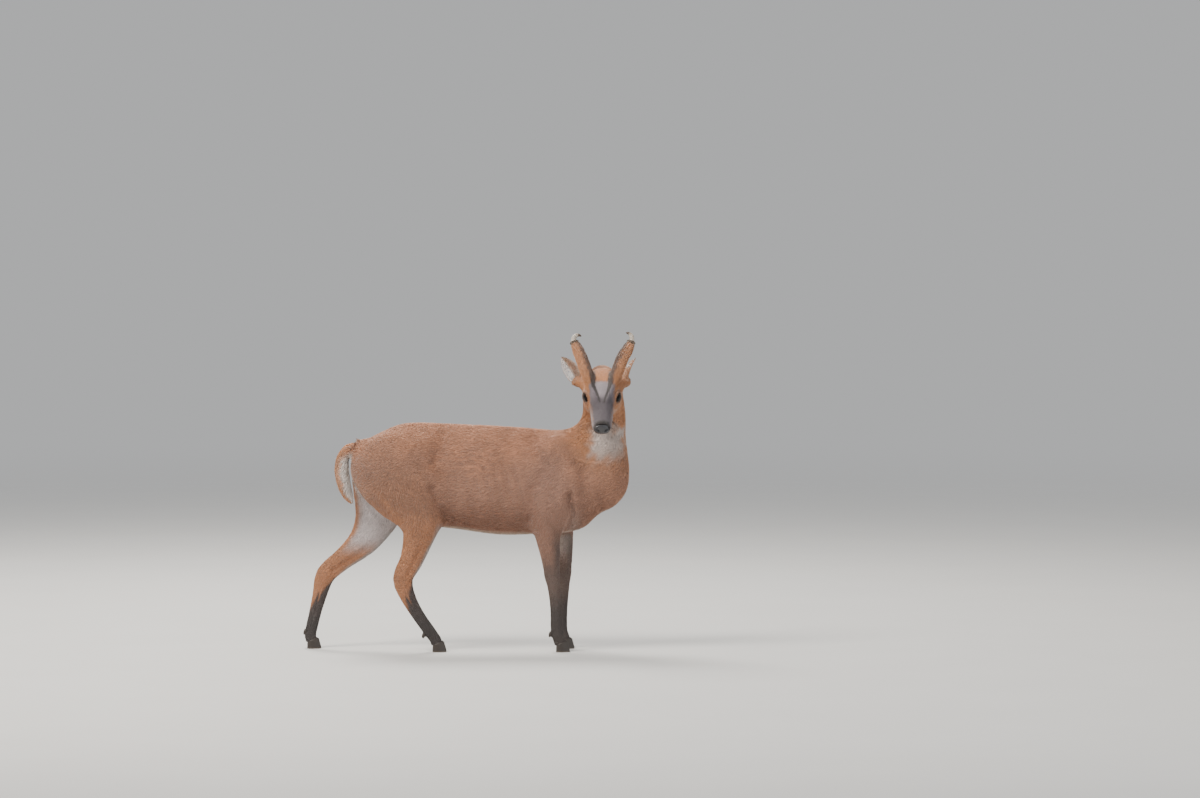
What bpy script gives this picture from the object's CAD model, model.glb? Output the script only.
"""A muntjac buck in its short summer coat, standing with its head turned towards the camera.

One skin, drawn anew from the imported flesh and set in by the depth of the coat, carries a coat of
small solid tufts. Both take their colours from the same markings. Eyes, lids, lashes, nose, ears,
antlers, whiskers, hooves and dewclaws are pieces of their own. Metres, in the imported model's frame.
"""

import math

import bmesh
import bpy
import numpy as np
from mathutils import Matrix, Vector


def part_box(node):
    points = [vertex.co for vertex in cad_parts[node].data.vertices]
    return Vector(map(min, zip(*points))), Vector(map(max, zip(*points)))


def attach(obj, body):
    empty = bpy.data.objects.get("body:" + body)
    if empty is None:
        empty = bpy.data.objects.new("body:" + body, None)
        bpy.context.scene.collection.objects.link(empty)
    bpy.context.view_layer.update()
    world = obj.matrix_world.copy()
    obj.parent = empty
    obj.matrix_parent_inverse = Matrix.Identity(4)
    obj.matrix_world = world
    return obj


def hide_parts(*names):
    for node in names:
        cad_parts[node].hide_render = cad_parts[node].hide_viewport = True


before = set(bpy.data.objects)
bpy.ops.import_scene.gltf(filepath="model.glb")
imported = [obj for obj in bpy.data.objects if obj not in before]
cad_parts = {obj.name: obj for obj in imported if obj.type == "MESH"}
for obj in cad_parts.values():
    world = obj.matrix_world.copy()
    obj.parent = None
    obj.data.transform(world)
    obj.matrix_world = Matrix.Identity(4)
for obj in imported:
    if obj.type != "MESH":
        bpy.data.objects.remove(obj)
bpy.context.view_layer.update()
rng = np.random.default_rng(7)

# The head's own frame: it starts midway between the eyes, ahead to the nose, to its right, up
HEAD_DIP = math.radians(43)
EYE_RADIUS = 0.0132
EYE_ASIDE = 0.0325
EYES = np.mean([np.mean(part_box(f"eye_{side}"), axis=0) for side in ("right", "left")], axis=0)
AHEAD = np.array([0.0, -math.cos(HEAD_DIP), -math.sin(HEAD_DIP)])
RIGHTWARD = np.array([-1.0, 0.0, 0.0])
HEAD_AXES = np.array([AHEAD, RIGHTWARD, np.cross(RIGHTWARD, AHEAD)])
SIDES = ((1, "right"), (-1, "left"))

# Body places are given from a point on the floor below the trunk, which lies here
HOME = EYES - np.array([0.332, -0.075, 0.6405])

# Lines through each part of the body, the way its hair runs: x, y, z and the flesh's radius there
LINES = {
    "trunk": [
        (0.310, 0.0, 0.435, 0.080),
        (0.200, 0.0, 0.425, 0.110),
        (0.050, 0.0, 0.428, 0.115),
        (-0.150, 0.0, 0.448, 0.105),
        (-0.255, 0.0, 0.470, 0.062),
    ],
    "neck": [(0.332, 0.0, 0.625, 0.046), (0.334, 0.002, 0.570, 0.052), (0.310, 0.0, 0.490, 0.070)],
    "right_fore": [
        (0.222, -0.060, 0.350, 0.042),
        (0.204, -0.053, 0.235, 0.023),
        (0.208, -0.050, 0.187, 0.018),
        (0.217, -0.049, 0.105, 0.0135),
        (0.219, -0.049, 0.052, 0.015),
        (0.229, -0.049, 0.012, 0.015),
    ],
    "left_fore": [
        (0.235, 0.060, 0.350, 0.042),
        (0.235, 0.053, 0.235, 0.023),
        (0.236, 0.050, 0.187, 0.018),
        (0.232, 0.049, 0.105, 0.0135),
        (0.230, 0.049, 0.052, 0.015),
        (0.240, 0.049, 0.012, 0.015),
    ],
    "right_hind": [
        (-0.150, -0.058, 0.395, 0.065),
        (-0.124, -0.062, 0.335, 0.048),
        (-0.127, -0.057, 0.285, 0.036),
        (-0.144, -0.052, 0.230, 0.027),
        (-0.166, -0.050, 0.184, 0.021),
        (-0.152, -0.050, 0.135, 0.017),
        (-0.125, -0.049, 0.088, 0.014),
        (-0.098, -0.049, 0.050, 0.015),
        (-0.080, -0.049, 0.012, 0.015),
    ],
    "left_hind": [
        (-0.215, 0.056, 0.390, 0.062),
        (-0.236, 0.058, 0.325, 0.045),
        (-0.268, 0.054, 0.270, 0.035),
        (-0.318, 0.051, 0.226, 0.0255),
        (-0.362, 0.050, 0.188, 0.021),
        (-0.378, 0.050, 0.135, 0.017),
        (-0.390, 0.050, 0.088, 0.014),
        (-0.399, 0.050, 0.050, 0.015),
        (-0.398, 0.050, 0.012, 0.015),
    ],
    "tail": [
        (-0.285, 0.0, 0.508, 0.015),
        (-0.302, 0.0, 0.5035, 0.016),
        (-0.316, 0.0, 0.482, 0.018),
        (-0.3185, 0.0, 0.448, 0.019),
        (-0.3125, 0.0, 0.412, 0.016),
        (-0.304, 0.0, 0.388, 0.011),
        (-0.296, 0.0, 0.372, 0.004),
    ],
}
HEAD_LINES = {
    "head": [
        (0.112, 0.0, 0.000, 0.020),
        (0.060, 0.0, -0.006, 0.028),
        (0.000, 0.0, -0.004, 0.042),
        (-0.060, 0.0, 0.000, 0.042),
    ],
    "right_pedicle": [
        (-0.046, 0.0380, 0.0400, 0.0165),
        (-0.070, 0.0485, 0.0570, 0.0170),
        (-0.098, 0.0605, 0.0690, 0.0165),
        (-0.114, 0.0685, 0.0755, 0.0130),
    ],
    "left_pedicle": [
        (-0.046, -0.0380, 0.0400, 0.0165),
        (-0.070, -0.0485, 0.0570, 0.0170),
        (-0.098, -0.0645, 0.0690, 0.0165),
        (-0.114, -0.0725, 0.0755, 0.0130),
    ],
}

# The coat on each part: its depth over the skin, and a tuft's length, width, spacing and lift
COAT = {
    "trunk": (0.0036, 0.0165, 0.0022, 0.0037, 0.050),
    "neck": (0.0036, 0.0160, 0.0021, 0.0033, 0.055),
    "head": (0.0014, 0.0066, 0.0011, 0.0018, 0.070),
    "right_fore": (0.0026, 0.0120, 0.0018, 0.0028, 0.055),
    "left_fore": (0.0026, 0.0120, 0.0018, 0.0028, 0.055),
    "right_hind": (0.0028, 0.0130, 0.0019, 0.0029, 0.055),
    "left_hind": (0.0028, 0.0130, 0.0019, 0.0029, 0.055),
    "tail": (0.0, 0.0260, 0.0025, 0.0030, 0.120),
    "right_pedicle": (0.0026, 0.0085, 0.0014, 0.0020, 0.110),
    "left_pedicle": (0.0026, 0.0085, 0.0014, 0.0020, 0.110),
}
TUFTS_A_PIECE = 19000
TUFT_PATCH = 0.003
FLESH_SWELL = 0.0005
VOXEL = 0.0019
CROWD = 1.0
SKIN_TRIANGLES = 188000

# Colours of the coat and the bare parts
CHESTNUT = (0.420, 0.180, 0.085)
UMBER = (0.230, 0.105, 0.060)
SOOT = (0.035, 0.028, 0.026)
SLATE = (0.118, 0.097, 0.110)
CREAM = (0.640, 0.580, 0.530)
LILAC = (0.400, 0.345, 0.370)
BLACK_SKIN = (0.012, 0.010, 0.010)


def unit(vectors):
    """Each row brought to length one."""
    return vectors / np.maximum(np.linalg.norm(vectors, axis=-1, keepdims=True), 1e-12)


def fade(values, low, high):
    """0 below low, 1 above high, and an even S between them; with low above high it falls."""
    t = np.clip((values - low) / (high - low), 0.0, 1.0)
    return t * t * (3.0 - 2.0 * t)


def hump(values, width):
    """A bell of height one at nought: the exponential of minus the square of values over width."""
    return np.exp(-((values / width) ** 2))


def to_head(points):
    """Points in the head's frame: ahead, to its right, up."""
    return (points - EYES) @ HEAD_AXES.T


def from_head(places):
    """Places in the head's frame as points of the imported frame."""
    return EYES + np.asarray(places, float) @ HEAD_AXES


def ripple(points, size, seed, waves=9):
    """Smooth noise about nought: a sum of plane waves of about the given size in random directions."""
    source = np.random.default_rng(seed)
    ways = unit(source.normal(size=(waves, 3))) / (size * source.uniform(0.6, 1.5, (waves, 1)))
    phases = source.uniform(0, 2 * math.pi, waves)
    return np.sin(2 * math.pi * points @ ways.T + phases).sum(1) / math.sqrt(waves)


def nearest_on(line, points):
    """The nearest place on a line of stations for each point.

    Returns the share of the line's length there, the place with its radius, the distance and the
    line's direction.
    """
    line = np.asarray(line, float)
    runs = np.linalg.norm(np.diff(line[:, :3], axis=0), axis=1)
    start = np.concatenate([[0.0], np.cumsum(runs)]) / runs.sum()
    best = np.full(len(points), np.inf)
    share = np.zeros(len(points))
    place = np.zeros((len(points), line.shape[1]))
    way = np.zeros((len(points), 3))
    for i, length in enumerate(runs):
        run = line[i + 1] - line[i]
        t = np.clip((points - line[i, :3]) @ run[:3] / length**2, 0.0, 1.0)
        spot = line[i] + t[:, None] * run
        gap = np.linalg.norm(points - spot[:, :3], axis=1)
        near = gap < best
        best[near] = gap[near]
        share[near] = (start[i] + t * (start[i + 1] - start[i]))[near]
        place[near] = spot[near]
        way[near] = run[:3] / length
    return share, place, best, way


def placed_lines():
    """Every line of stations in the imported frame."""
    lines = {name: np.array(rows) + np.append(HOME, 0.0) for name, rows in LINES.items()}
    for name, rows in HEAD_LINES.items():
        rows = np.array(rows)
        lines[name] = np.column_stack([from_head(rows[:, :3]), rows[:, 3]])
    return lines


PLACED = placed_lines()
PARTS = list(PLACED)


def belonging(points):
    """How much each point belongs to each part: near lines count most, against their own radius."""
    pull = np.empty((len(PARTS), len(points)))
    for i, name in enumerate(PARTS):
        _, place, gap, _ = nearest_on(PLACED[name], points)
        pull[i] = (place[:, 3] / np.maximum(gap, 1e-4)) ** 6
    return pull / pull.sum(0)


def fineness(points):
    """The share of a part's hair length that is left: less down the shins, on the toes and muzzle."""
    height = points[:, 2] - HOME[2]
    head = to_head(points)
    shin = 1.0 - 0.34 * fade(height, 0.240, 0.150) - 0.22 * fade(height, 0.045, 0.020)
    muzzle = 1.0 - 0.38 * fade(head[:, 0], 0.030, 0.085)
    back_of_head = 1.0 + 0.6 * fade(head[:, 0], -0.030, -0.085)
    near_head = np.linalg.norm(head, axis=1) < 0.16
    return shin * np.where(near_head, muzzle * back_of_head, 1.0)


def worn(share, column):
    """A value of the coat's table at points, mixed by how much they belong to each part."""
    return np.array([COAT[name][column] for name in PARTS]) @ share


def eye_frame(sign):
    """An eye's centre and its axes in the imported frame: outward, along the slit to the nose, up."""
    outward = unit(np.array([0.64, 0.71 * sign, 0.28]))
    along = np.array([0.78, -0.58 * sign, -0.22])
    along = unit(along - (along @ outward) * outward)
    upward = np.cross(outward, along) * -sign
    return from_head((0.0, EYE_ASIDE * sign, 0.0)), np.array([outward, along, upward]) @ HEAD_AXES


# Meshes


def link(name, data):
    """A new object in the scene that holds the data."""
    obj = bpy.data.objects.new(name, data)
    bpy.context.scene.collection.objects.link(obj)
    return obj


def mesh_piece(name, points, faces, material):
    """A new object from points and faces that all have three or all have four corners."""
    mesh = bpy.data.meshes.new(name)
    points = np.asarray(points, np.float32)
    faces = np.asarray(faces, np.int32)
    corners = faces.shape[1]
    mesh.vertices.add(len(points))
    mesh.vertices.foreach_set("co", points.ravel())
    mesh.loops.add(faces.size)
    mesh.loops.foreach_set("vertex_index", faces.ravel())
    mesh.polygons.add(len(faces))
    mesh.polygons.foreach_set("loop_start", np.arange(len(faces), dtype=np.int32) * corners)
    mesh.polygons.foreach_set("use_smooth", np.ones(len(faces), bool))
    mesh.update(calc_edges=True)
    mesh.materials.append(material)
    return link(name, mesh)


def dress(obj, slot, *nodes):
    """The piece rides on the model, takes a slot's finish and stands for the nodes, if any."""
    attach(obj, "root")
    if nodes:
        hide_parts(*nodes)
    return obj


def paint(mesh, name, colours):
    """A colour for each point, kept on the mesh under a name."""
    layer = mesh.color_attributes.new(name, "FLOAT_COLOR", "POINT")
    rows = np.column_stack([colours, np.ones(len(colours))]).astype(np.float32)
    layer.data.foreach_set("color", rows.ravel())


def mark(mesh, name, vectors):
    """A vector for each point, kept on the mesh under a name."""
    layer = mesh.attributes.new(name, "FLOAT_VECTOR", "POINT")
    layer.data.foreach_set("vector", np.ascontiguousarray(vectors, np.float32).ravel())


def grade(mesh, name, values):
    """A number for each point, kept on the mesh under a name."""
    layer = mesh.attributes.new(name, "FLOAT", "POINT")
    layer.data.foreach_set("value", np.ascontiguousarray(values, np.float32))


def read_triangles(mesh):
    """The corners of a mesh's triangles."""
    mesh.calc_loop_triangles()
    triangles = np.empty(len(mesh.loop_triangles) * 3, np.int32)
    mesh.loop_triangles.foreach_get("vertices", triangles)
    return triangles.reshape(-1, 3)


def read(mesh):
    """A mesh's points, normals and edges as arrays."""
    points = np.empty(len(mesh.vertices) * 3, np.float32)
    mesh.vertices.foreach_get("co", points)
    normals = np.empty(len(mesh.vertices) * 3, np.float32)
    mesh.vertex_normals.foreach_get("vector", normals)
    edges = np.empty(len(mesh.edges) * 2, np.int32)
    mesh.edges.foreach_get("vertices", edges)
    return points.reshape(-1, 3).astype(float), normals.reshape(-1, 3).astype(float), edges.reshape(-1, 2)


def write(mesh, points):
    """Puts moved points back into a mesh."""
    mesh.vertices.foreach_set("co", points.astype(np.float32).ravel())
    mesh.update()


def spread(values, edges, times, share=0.5):
    """Values at points, each moved again and again by a share of the way to its neighbours' mean."""
    one, two = edges[:, 0], edges[:, 1]
    count = np.bincount(one, minlength=len(values)) + np.bincount(two, minlength=len(values))
    share = np.broadcast_to(share, (len(values),))[:, None]
    for _ in range(times):
        mean = np.empty_like(values)
        for axis in range(values.shape[1]):
            column = values[:, axis]
            total = np.bincount(one, column[two], len(values)) + np.bincount(two, column[one], len(values))
            mean[:, axis] = total / count
        values = values + share * (mean - values)
    return values


def grid_faces(rows, around, looped=False):
    """Four-cornered faces of a grid of points, joined round each row and, if looped, end to end."""
    first = np.arange(rows if looped else rows - 1)[:, None] * around
    next_row = (first + around) % (rows * around)
    here = np.arange(around)[None, :]
    after = (here + 1) % around
    quads = np.stack([first + here, first + after, next_row + after, next_row + here], axis=2)
    return quads.reshape(-1, 4)


def outward(mesh):
    """Turns a closed mesh's faces to point out of it."""
    bm = bmesh.new()
    bm.from_mesh(mesh)
    bmesh.ops.recalc_face_normals(bm, faces=bm.faces)
    bm.to_mesh(mesh)
    bm.free()


def ring_piece(name, rings, material, looped=False):
    """A closed piece through rings of points; unless looped, each end closes on its middle point."""
    rings = np.asarray(rings)
    count, around = rings.shape[:2]
    points = rings.reshape(-1, 3)
    faces = grid_faces(count, around, looped=looped).tolist()
    if not looped:
        points = np.vstack([points, rings[0].mean(0), rings[-1].mean(0)])
        here = np.arange(around)
        after = (here + 1) % around
        top = (count - 1) * around
        first, last = np.full(around, count * around), np.full(around, count * around + 1)
        faces += np.stack([after, here, first], axis=1).tolist()
        faces += np.stack([here + top, after + top, last], axis=1).tolist()
    mesh = bpy.data.meshes.new(name)
    mesh.from_pydata(points.tolist(), [], faces)
    outward(mesh)
    mesh.shade_smooth()
    mesh.materials.append(material)
    return link(name, mesh)


def smooth_line(line, count):
    """A line's stations read off evenly on a Catmull-Rom curve through them."""
    line = np.asarray(line, float)
    ends = np.vstack([2 * line[0] - line[1], line, 2 * line[-1] - line[-2]])
    at = np.linspace(0, len(line) - 1 - 1e-9, count)
    i = at.astype(int)
    t = (at - i)[:, None]
    a, b, c, d = ends[i], ends[i + 1], ends[i + 2], ends[i + 3]
    return 0.5 * (2 * b + (c - a) * t + (2 * a - 5 * b + 4 * c - d) * t**2 + (3 * b - a - 3 * c + d) * t**3)


def frame_along(path, side):
    """Unit vectors along a path, across it as near to side as can be, and square to both."""
    along = unit(np.gradient(path, axis=0))
    across = unit(side - (along @ side)[:, None] * along)
    return along, across, np.cross(along, across)


# Materials


class Wire:
    """A socket's output; arithmetic on it adds Math nodes."""

    def __init__(self, finish, socket):
        self.finish = finish
        self.socket = socket

    def math(self, operation, *values):
        inputs = dict(enumerate(values))
        return self.finish.add("ShaderNodeMath", {"operation": operation}, inputs)

    def __add__(self, other):
        return self.math("ADD", self, other)

    def __sub__(self, other):
        return self.math("SUBTRACT", self, other)

    def __rsub__(self, other):
        return self.math("SUBTRACT", other, self)

    def __mul__(self, other):
        return self.math("MULTIPLY", self, other)

    def __pow__(self, other):
        return self.math("POWER", self, other)

    __radd__ = __add__
    __rmul__ = __mul__

    def over(self, low, high):
        """0 below low, 1 above high, a smooth step between."""
        settings = {"interpolation_type": "SMOOTHSTEP"}
        inputs = {"Value": self, "From Min": low, "From Max": high}
        return self.finish.add("ShaderNodeMapRange", settings, inputs)


class Finish:
    """A material. Its fixed numbers are set on the shader's own sockets."""

    def __init__(self, name, fixed):
        self.material = bpy.data.materials.new(name)
        self.material.use_nodes = True
        self.tree = self.material.node_tree
        self.shader = self.tree.nodes["Principled BSDF"]
        for socket, value in fixed.items():
            self.feed(self.shader.inputs[socket], value)

    def feed(self, socket, value):
        """Gives a socket a link, a number, a vector or a colour."""
        if isinstance(value, Wire):
            self.tree.links.new(value.socket, socket)
        elif socket.type == "RGBA":
            socket.default_value = (*value, 1.0)
        else:
            socket.default_value = value

    def add(self, kind, settings, inputs, output=0):
        """A node of the given type: its settings come first, then its sockets' values or links."""
        node = self.tree.nodes.new(kind)
        for name, value in settings.items():
            setattr(node, name, value)
        for name, value in inputs.items():
            self.feed(node.inputs[name], value)
        return Wire(self, node.outputs[output])

    def kept(self, name, output="Color"):
        """What the mesh keeps for each point under a name."""
        return self.add("ShaderNodeAttribute", {"attribute_name": name}, {}, output)

    def place(self, scale, source=None):
        """Object coordinates, or another source, stretched by a scale for each axis."""
        source = source or self.add("ShaderNodeTexCoord", {}, {}, "Object")
        return self.add("ShaderNodeMapping", {}, {"Vector": source, "Scale": scale})

    def noise(self, where, scale, detail=3.0):
        """Cloudy noise about a half."""
        return self.add("ShaderNodeTexNoise", {}, {"Vector": where, "Scale": scale, "Detail": detail})

    def mix(self, factor, one, two, blend="MIX"):
        """One colour turned into another by a factor."""
        settings = {"data_type": "RGBA", "blend_type": blend}
        return self.add("ShaderNodeMix", settings, {0: factor, 6: one, 7: two}, 2)

    def haired(self, tone):
        """The markings kept on the mesh, darkened or lightened by a tone."""
        grey = self.add("ShaderNodeCombineColor", {}, {0: tone, 1: tone, 2: tone})
        return self.mix(1.0, self.kept("pelt"), grey, "MULTIPLY")

    def bump(self, height, distance, strength=1.0):
        """A normal bent by a height."""
        return self.add("ShaderNodeBump", {}, {"Height": height, "Distance": distance, "Strength": strength})

    def wear(self, **sockets):
        """Links what changes over the surface to the shader, and gives back the material."""
        for name, value in sockets.items():
            self.feed(self.shader.inputs[name.replace("_", " ")], value)
        return self.material


def skin_finish():
    """Hide under the coat: the markings, broken by fine streaks that run with the hair."""
    made = Finish("hide", {"Specular IOR Level": 0.35, "Sheen Weight": 0.12, "Sheen Roughness": 0.5})
    combed = made.kept("comb", "Vector")
    streak = made.noise(made.place((260.0, 1500.0, 1500.0), combed), 1.0, 2.0)
    fine = made.noise(made.place((600.0, 3600.0, 3600.0), combed), 1.0, 2.0)
    bare = made.kept("bare", "Fac")
    tone = 0.58 + (streak * 0.45 + fine * 0.35) * (1.0 - bare * 0.6)
    colour = made.haired(tone)
    pores = made.noise(made.place((1400.0, 1400.0, 1400.0)), 1.0, 3.0)
    height = (streak * 0.6 + fine * 0.4) * (1.0 - bare) + pores * bare
    return made.wear(
        Base_Color=colour,
        Roughness=0.68 - bare * 0.22,
        Normal=made.bump(height, 0.0009),
    )


def coat_finish():
    """Tufts of hair: the markings kept on them, with fine streaks, and a soft sheen."""
    made = Finish("coat", {"Specular IOR Level": 0.40, "Sheen Weight": 0.18, "Sheen Roughness": 0.45})
    where = made.place((900.0, 900.0, 900.0))
    grain = made.noise(where, 1.0, 2.0)
    tone = 0.86 + grain * 0.28
    colour = made.haired(tone)
    return made.wear(Base_Color=colour, Roughness=0.50 + grain * 0.16)


def eye_finish():
    """A wet dark eye: a level oval pupil, a deep brown iris with fine spokes, near-black past it."""
    film = {"Coat Weight": 0.5, "Coat Roughness": 0.02, "Coat IOR": 1.34}
    made = Finish("wet_eye", {"Specular IOR Level": 0.0, "Roughness": 0.4, **film})
    gaze = made.add("ShaderNodeSeparateXYZ", {}, {"Vector": made.kept("gaze", "Vector")})
    split = gaze.socket.node
    along, up = Wire(made, split.outputs[1]), Wire(made, split.outputs[2])
    pupil = ((along * 1.9) ** 2.0 + (up * 3.0) ** 2.0) ** 0.5
    rim = (along**2.0 + up**2.0) ** 0.5
    spokes = made.noise(made.place((1500.0, 1500.0, 1500.0)), 1.0, 3.0)
    iris = made.mix(spokes, (0.008, 0.004, 0.003), (0.026, 0.012, 0.006))
    dark = made.mix(pupil.over(0.86, 1.02), (0.002, 0.002, 0.003), iris)
    colour = made.mix(rim.over(0.64, 0.78), dark, (0.006, 0.004, 0.004))
    return made.wear(Base_Color=colour)


def nose_finish():
    """A wet nose pad: black, pebbled, with a damp shine that breaks up on the pebbles."""
    made = Finish("wet_nose", {"Coat Weight": 0.60, "Coat Roughness": 0.16, "Specular IOR Level": 0.5})
    where = made.place((1.0, 1.0, 1.0))
    pebbles = {"Vector": where, "Scale": 820.0, "Smoothness": 0.5}
    cells = made.add("ShaderNodeTexVoronoi", {"feature": "SMOOTH_F1"}, pebbles)
    grain = made.noise(where, 1900.0, 3.0)
    pit = made.kept("furrow", "Fac")
    pad = made.mix(cells, (0.034, 0.034, 0.040), (0.012, 0.012, 0.015))
    colour = made.mix(pit, pad, (0.0015, 0.0012, 0.0012))
    height = 1.0 - cells + grain * 0.25
    return made.wear(Base_Color=colour, Roughness=0.34 + grain * 0.20, Normal=made.bump(height, 0.0005, 0.9))


def lid_finish():
    """Lids and lashes: thin skin, black at the slit and haired farther out."""
    made = Finish("lid_skin", {"Specular IOR Level": 0.45, "Coat Weight": 0.08, "Coat Roughness": 0.2})
    folds = made.noise(made.place((1700.0, 1700.0, 1700.0)), 1.0, 4.0)
    tone = 0.75 + folds * 0.5
    colour = made.haired(tone)
    return made.wear(Base_Color=colour, Roughness=0.42 + folds * 0.2, Normal=made.bump(folds, 0.0005))


def antler_finish():
    """Bare bone: pale and polished where it rubs, browner down in the furrows and at the burr."""
    made = Finish("antler_bone", {"Specular IOR Level": 0.5, "Coat Weight": 0.12, "Coat Roughness": 0.25})
    furrow = made.kept("furrow", "Fac")
    stain = made.noise(made.place((160.0, 160.0, 160.0)), 1.0, 4.0)
    grain = made.noise(made.place((1300.0, 1300.0, 300.0)), 1.0, 3.0)
    pale = made.mix(stain.over(0.35, 0.75), (0.66, 0.60, 0.52), (0.44, 0.35, 0.26))
    colour = made.mix(furrow, pale, (0.090, 0.058, 0.040))
    return made.wear(
        Base_Color=colour,
        Roughness=0.36 + furrow * 0.25 + grain * 0.10,
        Normal=made.bump(grain, 0.0004),
    )


def hoof_finish():
    """Black-brown horn with growth rings round the wall, fine upright fibres and a scuffed lower edge."""
    made = Finish("hoof_horn", {"Specular IOR Level": 0.5, "Coat Weight": 0.1, "Coat Roughness": 0.3})
    height = made.add("ShaderNodeSeparateXYZ", {}, {"Vector": made.place((1.0, 1.0, 1.0))}, 2)
    drift = made.noise(made.place((90.0, 90.0, 90.0)), 1.0, 2.0)
    phase = height * 2600.0 + drift * 5.0
    rings = phase.math("SINE", phase) * 0.5 + 0.5
    fibre = made.noise(made.place((1600.0, 1600.0, 160.0)), 1.0, 3.0)
    worn_edge = 1.0 - (height + fibre * 0.003).over(0.001, 0.006)
    dark = made.mix(fibre, (0.016, 0.013, 0.012), (0.060, 0.044, 0.034))
    colour = made.mix(worn_edge * 0.7, dark, (0.15, 0.12, 0.095))
    return made.wear(
        Base_Color=colour,
        Roughness=0.40 + fibre * 0.20 + worn_edge * 0.15,
        Normal=made.bump(rings * 0.35 + fibre * 0.5, 0.0004),
    )


def ear_finish():
    """Thin ear hide: haired outside, bare and rosier in the cup, with faint veins."""
    made = Finish("ear_hide", {"Specular IOR Level": 0.35, "Sheen Weight": 0.15, "Subsurface Weight": 0.12})
    vein = made.noise(made.place((120.0, 120.0, 120.0)), 1.0, 4.0)
    fine = made.noise(made.place((1500.0, 1500.0, 1500.0)), 1.0, 2.0)
    tone = 0.72 + vein * 0.35 + fine * 0.20
    colour = made.haired(tone)
    return made.wear(Base_Color=colour, Roughness=0.58 + fine * 0.15, Normal=made.bump(fine + vein, 0.0005))


# Markings


def mixed(base, colour, mask):
    """Colours turned into another by a mask."""
    return base + (np.asarray(colour) - base) * np.clip(mask, 0.0, 1.0)[:, None]


def forward_of(way):
    """The direction in the body's upright plane that is square to a line and looks ahead."""
    return unit(np.column_stack([-way[:, 2], np.zeros(len(way)), way[:, 0]]))


# The black line on each side of the forehead, up to the pedicle: ahead, aside, nought, half width
STRIPE = [
    (0.044, 0.0050, 0.0, 0.0021),
    (0.030, 0.0085, 0.0, 0.0029),
    (0.014, 0.0145, 0.0, 0.0037),
    (-0.002, 0.0212, 0.0, 0.0050),
    (-0.020, 0.0225, 0.0, 0.0078),
    (-0.045, 0.0260, 0.0, 0.0092),
    (-0.090, 0.0420, 0.0, 0.0085),
]


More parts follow.
